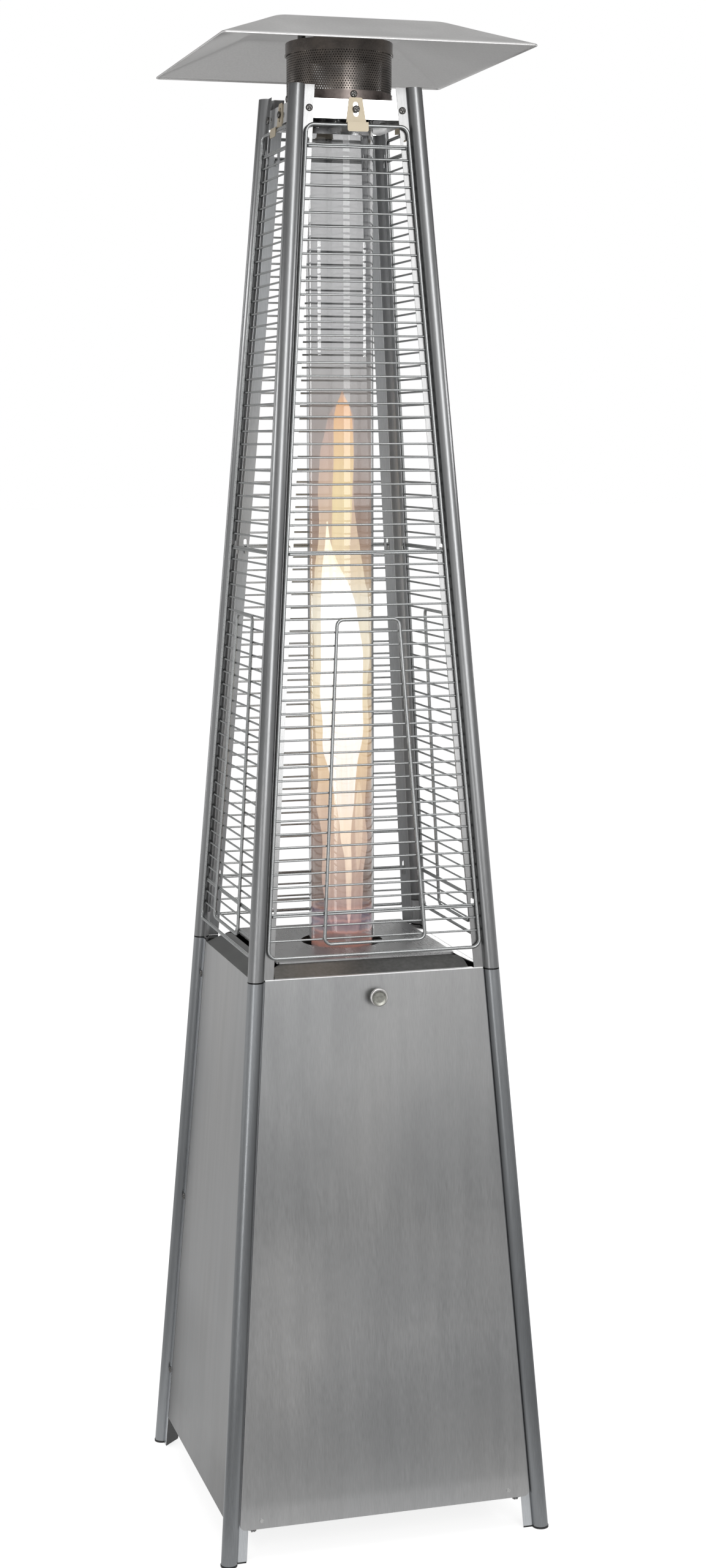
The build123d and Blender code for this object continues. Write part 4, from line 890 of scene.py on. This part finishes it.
screwShape = {
    "headRadius": 0.0052,
    "headHeight": 0.0026,
    "edge": [(1.0, 0.0), (1.0, 0.35), (0.95, 0.66), (0.82, 0.86)],  # shares of the head's radius and height
    "domeShares": (0.66, 0.54, 0.44, 0.33, 0.22, 0.13),
    "dome": 0.10,
    "shankRadius": 0.0024,
    "shankLength": 0.0070,
    "tipShare": 0.7,
    "tipLength": 0.0008,
    "slotHalf": 0.00075,
    "slotReach": 0.0029,
    "slotDepth": 0.0013,
    "slotRise": 0.6,  # how much of the depth is lost at the slot's end
    "slotAbove": 0.8,  # share of the height
    "segments": 32,
    "crease": 38,  # degrees
    "seed": 7,
    "panelHeights": (0.132, 0.4305, 0.803),
    "topHeight": 2.118,
    "clipOut": 0.0013,
    "bandHeight": 2.141,
    "bandSink": 0.0033,
}


def screwHead():
    shape = screwShape
    radius, height = shape["headRadius"], shape["headHeight"]
    shank, length = shape["shankRadius"], shape["shankLength"]
    profile = [(0.0, -length), (shank * shape["tipShare"], -length), (shank, -length + shape["tipLength"]),
               (shank, 0.0)]
    profile += [(radius * share, height * rise) for share, rise in shape["edge"]]
    profile += [(radius * share, height * (1.0 - shape["dome"] * share)) for share in shape["domeShares"]]
    profile.append((0.0, height))
    points, faces = latheRings([profile], shape["segments"])
    for point in points:
        near, far = sorted((abs(point.x), abs(point.y)))
        if point.z > height * shape["slotAbove"] and near <= shape["slotHalf"] and far <= shape["slotReach"]:
            point.z -= shape["slotDepth"] * (1.0 - shape["slotRise"] * far / shape["slotReach"])
    return points, faces


def screwSpots():
    # where each head sits and which way it faces
    shape = screwShape
    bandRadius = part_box("screen_band")[1].x - shape["bandSink"]
    spots = []
    for side in range(4):
        heights = [shape["topHeight"]] if side == 0 else [*shape["panelHeights"], shape["topHeight"]]
        for z in heights:
            for hand in (-1, 1):
                spots.append(faceFrame(side, hand * (halfAt(z) - heater["screwInset"]), z))
        spots.append(faceFrame(side, 0.0, shape["topHeight"], shape["clipOut"]))
        turn = Matrix.Rotation(pi / 2 * side, 4, "Z")
        spots.append(turn @ Matrix.Translation((0, -bandRadius, shape["bandHeight"]))
                     @ Matrix.Rotation(pi / 2, 4, "X"))
    return spots


def scatterTree():
    # copies a part onto every point, turned to face along the point's own direction
    tree, given = newTree("partsOnPoints", {"Part": "Object", "Finish": "Material", "Seed": "Int"})
    facing = addNode(tree, "GeometryNodeInputNamedAttribute", {"Name": "facing"}, data_type="FLOAT_VECTOR")
    align = addNode(tree, "FunctionNodeAlignRotationToVector", {"Vector": facing}, axis="Z")
    spin = addNode(tree, "FunctionNodeRandomValue", {"Max": pi, "Seed": given["Seed"]},
                   data_type="FLOAT")
    about = addNode(tree, "ShaderNodeCombineXYZ", {"Z": spin.outputs["Value"]})
    turned = addNode(tree, "FunctionNodeRotateRotation", {
        "Rotation": align, "Rotate By": about}, rotation_space="LOCAL")
    parts = copyOnto(tree, given["Geometry"], given["Part"], Rotation=turned)
    return finishTree(tree, parts, given["Finish"])


def makeScrews():
    spots = screwSpots()
    mesh = rawMesh("screwSpots", [spot.translation for spot in spots])
    facing = mesh.attributes.new("facing", "FLOAT_VECTOR", "POINT")
    for index, spot in enumerate(spots):
        facing.data[index].vector = spot.to_3x3() @ Vector((0, 0, 1))
    screws = growPiece("panHeadScrews", mesh, scatterTree(), {
        "Part": bpy.data.objects.new("screwHead", rawMesh("screwHead", *screwHead())),
        "Finish": finishes["fastener_steel"], "Seed": screwShape["seed"]})
    sharpen(screws, screwShape["crease"])
    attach(screws, "root")
    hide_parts("pan_screws")


makeScrews()
print("screws made")


# The door's round pull

pullShape = {
    "baseOut": 0.0024,  # door's face, in front of the posts' faces
    "neck": 0.0070,
    "neckProfile": [(1.0, 0.0), (1.0, 0.7), (1.08, 0.88), (1.3, 0.98), (1.5, 1.0)],  # shares of its sizes
    "radius": 0.0135,
    "disc": 0.0050,
    "backEdge": [(0.0012, 0.0), (0.0004, 0.0003), (0.0, 0.0012)],  # in from the edge, out from the back
    "frontEdge": [(0.0, 0.0014), (0.0003, 0.0006), (0.0010, 0.0001), (0.0016, 0.0), (0.0022, 0.0002),
                  (0.0028, 0.0005)],  # in from the edge, back from the front
    "faceSink": 0.0005,
    "faceRings": (0.5, 0.0),  # shares of the radius
    "length": 0.0190,
    "segments": 64,
    "crease": 50,  # degrees
}


def makePull():
    shape = pullShape
    neck, radius, length = shape["neck"], shape["radius"], shape["length"]
    back = length - shape["disc"]
    profile = [(0.0, 0.0)]
    profile += [(neck * share, back * rise) for share, rise in shape["neckProfile"]]
    profile += [(radius - inset, back + rise) for inset, rise in shape["backEdge"]]
    profile += [(radius - inset, length - sink) for inset, sink in shape["frontEdge"]]
    profile += [(radius * share, length - shape["faceSink"]) for share in shape["faceRings"]]
    points, faces = latheRings([profile], shape["segments"])
    place = faceFrame(0, 0.0, heater["pullHeight"], shape["baseOut"])
    pull = meshPiece("doorPull", [place @ point for point in points], faces, finishes["satin_steel"])
    sharpen(pull, shape["crease"])
    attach(pull, "door")
    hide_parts("door_knob")


makePull()
print("door pull made")


# The flame: nested tongues inside a faint haze, with lengths in millimetres

millimetre = 0.001
flameShape = {
    "acrossAngle": 0.27816,  # the tongues sway along this direction, turned right from +X
    "ripples": [(0.035, 3, 0.040), (0.025, 5, -0.065)],  # size, waves round the tongue, rate along it
    "leastWidth": 0.5,
    "tipLength": 1.0,
    "stepsPerRow": 5,
    "grain": ((110.0, 110.0, 6.0), 4.0, 0.8),
    "flicker": 0.80,  # least share of a shell's cover
    "seed": 5,
}
flameAcross = Vector((cos(flameShape["acrossAngle"]), -sin(flameShape["acrossAngle"]), 0))
flameBeside = Vector((0, 0, 1)).cross(flameAcross)
# rows: height, sway, half width; tones as they are seen, and covers, by height
flameShells = {
    "flameCore": {
        "strength": 4.2, "streak": 0.03, "segments": 40,
        "rows": [[
            (905, 11.2, 1.0), (921, 11.2, 3.0), (950, 11.2, 4.0), (979, 11.2, 4.8), (1008, 9.8, 5.4),
            (1036, 6.5, 7.8), (1065, 6.5, 9.8), (1094, 5.6, 14.0), (1122, 4.2, 17.7), (1150, 2.3, 22.4),
            (1178, 0.5, 29.0), (1206, 1.4, 30.8), (1263, 1.9, 32.2), (1319, 1.4, 31.7), (1347, 0.0, 30.3),
            (1376, -2.8, 27.5), (1404, -4.7, 25.2), (1431, -8.4, 20.0), (1459, -15.0, 11.7),
            (1487, -18.8, 4.8), (1505, -19.8, 2.4), (1522, -20.0, 0.8)]],
        "tones": [
            (905, 204, 170, 160), (979, 216, 200, 178), (1050, 232, 222, 200), (1094, 218, 219, 216),
            (1178, 206, 214, 230), (1404, 206, 216, 236), (1459, 230, 226, 210), (1522, 236, 226, 200)],
        "covers": [(905, 0.3), (940, 0.56), (1065, 0.80), (1150, 0.95), (1431, 0.97), (1522, 0.7)],
    },
    "flameTongue": {
        "strength": 2.0, "streak": 0.04, "segments": 40,
        "rows": [[
            (1425, 3.0, 6.0), (1459, 2.0, 12.6), (1487, 0.2, 13.4), (1515, 1.0, 14.4), (1542, 3.0, 15.0),
            (1597, 4.4, 15.0), (1652, 4.6, 14.6), (1680, 4.4, 13.0), (1698, 4.0, 8.8), (1709, 3.6, 3.8),
            (1718, 3.4, 0.6)]],
        "tones": [
            (1425, 255, 250.5, 212.2), (1487, 243.4, 231.1, 177.1), (1542, 245.8, 236.1, 165.7),
            (1597, 245.8, 223.3, 146.6), (1652, 245.8, 203.4, 129.1), (1685, 236.1, 180.6, 117.6),
            (1718, 217.8, 161.7, 117.6)],
        "covers": [(1425, 0.1), (1487, 0.62), (1542, 0.80), (1652, 0.84), (1695, 0.66), (1718, 0.15)],
    },
    "flameSheath": {
        "strength": 2.1, "streak": 0.02, "segments": 56,
        "rows": [[
            (893, 5.5, 20.5), (921, 4.7, 26.2), (950, 3.3, 30.0), (979, 2.3, 31.8), (1008, 2.8, 33.0),
            (1036, 3.7, 34.5), (1065, 2.3, 35.5), (1094, 0.5, 37.2), (1122, 1.4, 37.2), (1150, 1.4, 37.8),
            (1178, 1.0, 38.8), (1235, 0.5, 41.0), (1291, 0.0, 42.2), (1404, 0.0, 41.8), (1431, -0.9, 38.4),
            (1459, -2.3, 35.6), (1487, -3.3, 31.5), (1515, -5.1, 28.2), (1570, -5.6, 26.6),
            (1625, -5.4, 25.4), (1652, -2.2, 22.2), (1680, 1.2, 18.6), (1695, 3.0, 11.0), (1704, 4.0, 0.8)]],
        "tones": [
            (893, 162, 132, 130), (921, 194, 164, 158), (950, 208, 180, 168), (1008, 222, 196, 178),
            (1065, 226, 202, 180), (1122, 228, 205, 176), (1178, 230, 212, 182), (1263, 230, 222, 198),
            (1404, 228, 227, 216), (1459, 238, 225, 194), (1515, 232, 208, 178), (1597, 224, 194, 172),
            (1652, 216, 184, 170), (1704, 206, 172, 158)],
        "covers": [
            (893, 0.25), (925, 0.46), (950, 0.56), (1036, 0.58), (1122, 0.54), (1404, 0.52), (1515, 0.48),
            (1652, 0.38), (1704, 0.1)],
    },
    "flameThreads": {  # thin licks low in the tube
        "strength": 2.4, "streak": 0.02, "segments": 16,
        "rows": [
            [(950, -20.5, 1.0), (975, -20.8, 3.2), (1015, -20.5, 4.0), (1048, -19.0, 1.0)],
            [(1030, -7.5, 1.2), (1065, -7.2, 4.0), (1100, -6.8, 4.6), (1130, -6.0, 1.2)],
            [(985, 25.0, 1.0), (1020, 26.2, 4.4), (1080, 27.5, 5.8), (1125, 27.2, 1.4)],
        ],
        "tones": [(950, 224, 200, 178), (1130, 242, 232, 208)],
        "covers": [(950, 0.4), (1000, 0.70), (1090, 0.75), (1130, 0.3)],
    },
}
glowShape = {
    "radius": 46.8,
    "segments": 64,
    "rows": 60,
    "crease": 60,  # degrees
    "streak": 0.002,
    "veil": 0.17,  # light that comes through the haze from behind
    "open": 905,  # lower than this the dark burner is behind it
    "gain": 0.495,  # share of its own light that leaves the tube
    # the thin bright stops from 880 to 936 are painted glints of the flame's light
    "tones": [
        (874, 110, 92, 90), (880, 166, 112, 96), (884, 142, 106, 98), (888, 120, 102, 101),
        (896, 114, 104, 106), (899, 174, 126, 116), (902, 118, 106, 113), (914, 130, 122, 134),
        (917, 182, 150, 148), (920, 138, 130, 136), (932, 142, 132, 140), (936, 196, 162, 146),
        (940, 146, 134, 130), (979, 152, 140, 134), (1036, 164, 145, 136), (1094, 182, 159, 144),
        (1150, 206, 180, 154), (1206, 220, 196, 166), (1263, 226, 206, 176), (1347, 228, 214, 190),
        (1404, 226, 212, 190), (1431, 217, 198, 175), (1459, 206, 184, 164), (1487, 193, 173, 160),
        (1542, 184, 167, 158), (1625, 175, 163, 157), (1680, 168, 160, 156), (1740, 172, 168, 165),
        (1800, 172, 168, 165)],
    "covers": [
        (874, 0.62), (890, 0.50), (1036, 0.48), (1404, 0.48), (1625, 0.44), (1690, 0.38), (1720, 0.26),
        (1790, 0.0)],
}


def litTones(rows):
    # tones as they are seen, from 0 to 255, turned into the light that gives them
    return [(z, tuple(((part / 255 + 0.055) / 1.055) ** 2.4 for part in tone)) for z, *tone in rows]


def flameFinish(name, shape, tones, strength):
    low, high = tones[0][0], tones[-1][0]
    streak, covers = shape["streak"], [(z, grey(level)) for z, level in shape["covers"]]
    material, tree = newFinish(name, {"Base Color": (0, 0, 0, 1), "Roughness": 1.0, "Specular IOR Level": 0.0,
                                      "Emission Strength": strength})
    lick = grainNoise(tree, *flameShape["grain"])
    height = maths(tree, "ADD", remap(tree, axisOf(tree, "Z"), low * millimetre, high * millimetre, 0.0, 1.0),
                   spread(tree, lick, -streak, streak))
    colour, cover = (toneRamp(tree, height, [((z - low) / (high - low), tone) for z, tone in stops])
                     for stops in (tones, covers))
    feed(tree, "Emission Color", colour)
    feed(tree, "Alpha", maths(tree, "MULTIPLY", cover, spread(tree, lick, flameShape["flicker"], 1.0)))
    return material


def easedRows(rows, steps):
    # Catmull-Rom between the given rows
    padded = [rows[0], *rows, rows[-1]]
    eased = []
    for near in zip(padded, padded[1:], padded[2:], padded[3:]):
        for t in (step / steps for step in range(steps)):
            eased.append(tuple(
                b + 0.5 * t * (c - a + t * (2 * a - 5 * b + 4 * c - d + t * (3 * (b - c) + d - a)))
                for a, b, c, d in zip(*near)))
    return [*eased, rows[-1]]


def addTongue(rows, segments, points, faces):
    shape = flameShape
    waves = [(*ripple, random.uniform(0, tau)) for ripple in shape["ripples"]]
    rings = []
    for z, sway, width in easedRows(rows, shape["stepsPerRow"]):
        rings.append(range(len(points), len(points) + segments))
        for step in range(segments):
            angle = tau * step / segments
            ripple = 1 + sum(size * sin(count * angle + z * rate + phase)
                             for size, count, rate, phase in waves)
            out = flameAcross * cos(angle) + flameBeside * sin(angle)
            reach = max(width, shape["leastWidth"]) * ripple
            points.append((flameAcross * sway + out * reach + Vector((0, 0, z))) * millimetre)
    faces += joinRings(rings, segments)
    for row, rise in ((rings[0], -shape["tipLength"]), (rings[-1], shape["tipLength"])):
        faces += joinRings([row, [len(points)]], segments)
        points.append(sum((points[k] for k in row), Vector()) / segments
                      + Vector((0, 0, rise * millimetre)))


def makeGlow():
    shape = glowShape
    tones = [(z, tuple(max(0.0, (part - (shape["veil"] if z > shape["open"] else 0.0)) / shape["gain"])
                       for part in tone)) for z, tone in litTones(shape["tones"])]
    material = flameFinish("glowHaze", shape, tones, 1.0)
    bottom, top = tones[0][0], tones[-1][0]
    wall = [(shape["radius"], z) for z in (bottom, *evenSteps(bottom, top, shape["rows"]))]
    points, faces = latheRings([[(0.0, bottom), *wall, (0.0, top)]], shape["segments"])
    points = [point * millimetre for point in points]
    glow = meshPiece("flameGlow", points, faces, material)
    sharpen(glow, shape["crease"])
    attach(glow, "root")


def makeFlame():
    random.seed(flameShape["seed"])
    for name, shell in flameShells.items():
        material = flameFinish(name + "Light", shell, litTones(shell["tones"]), shell["strength"])
        points, faces = [], []
        for rows in shell["rows"]:
            addTongue(rows, shell["segments"], points, faces)
        tongue = meshPiece(name, points, faces, material)
        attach(tongue, "root")


makeGlow()
makeFlame()
print("flame made")

newLow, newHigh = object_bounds()
for label, corners in (("cad box", (*cadLow, *cadHigh)), ("new box", (*newLow, *newHigh))):
    print(label, [round(value, 4) for value in corners])
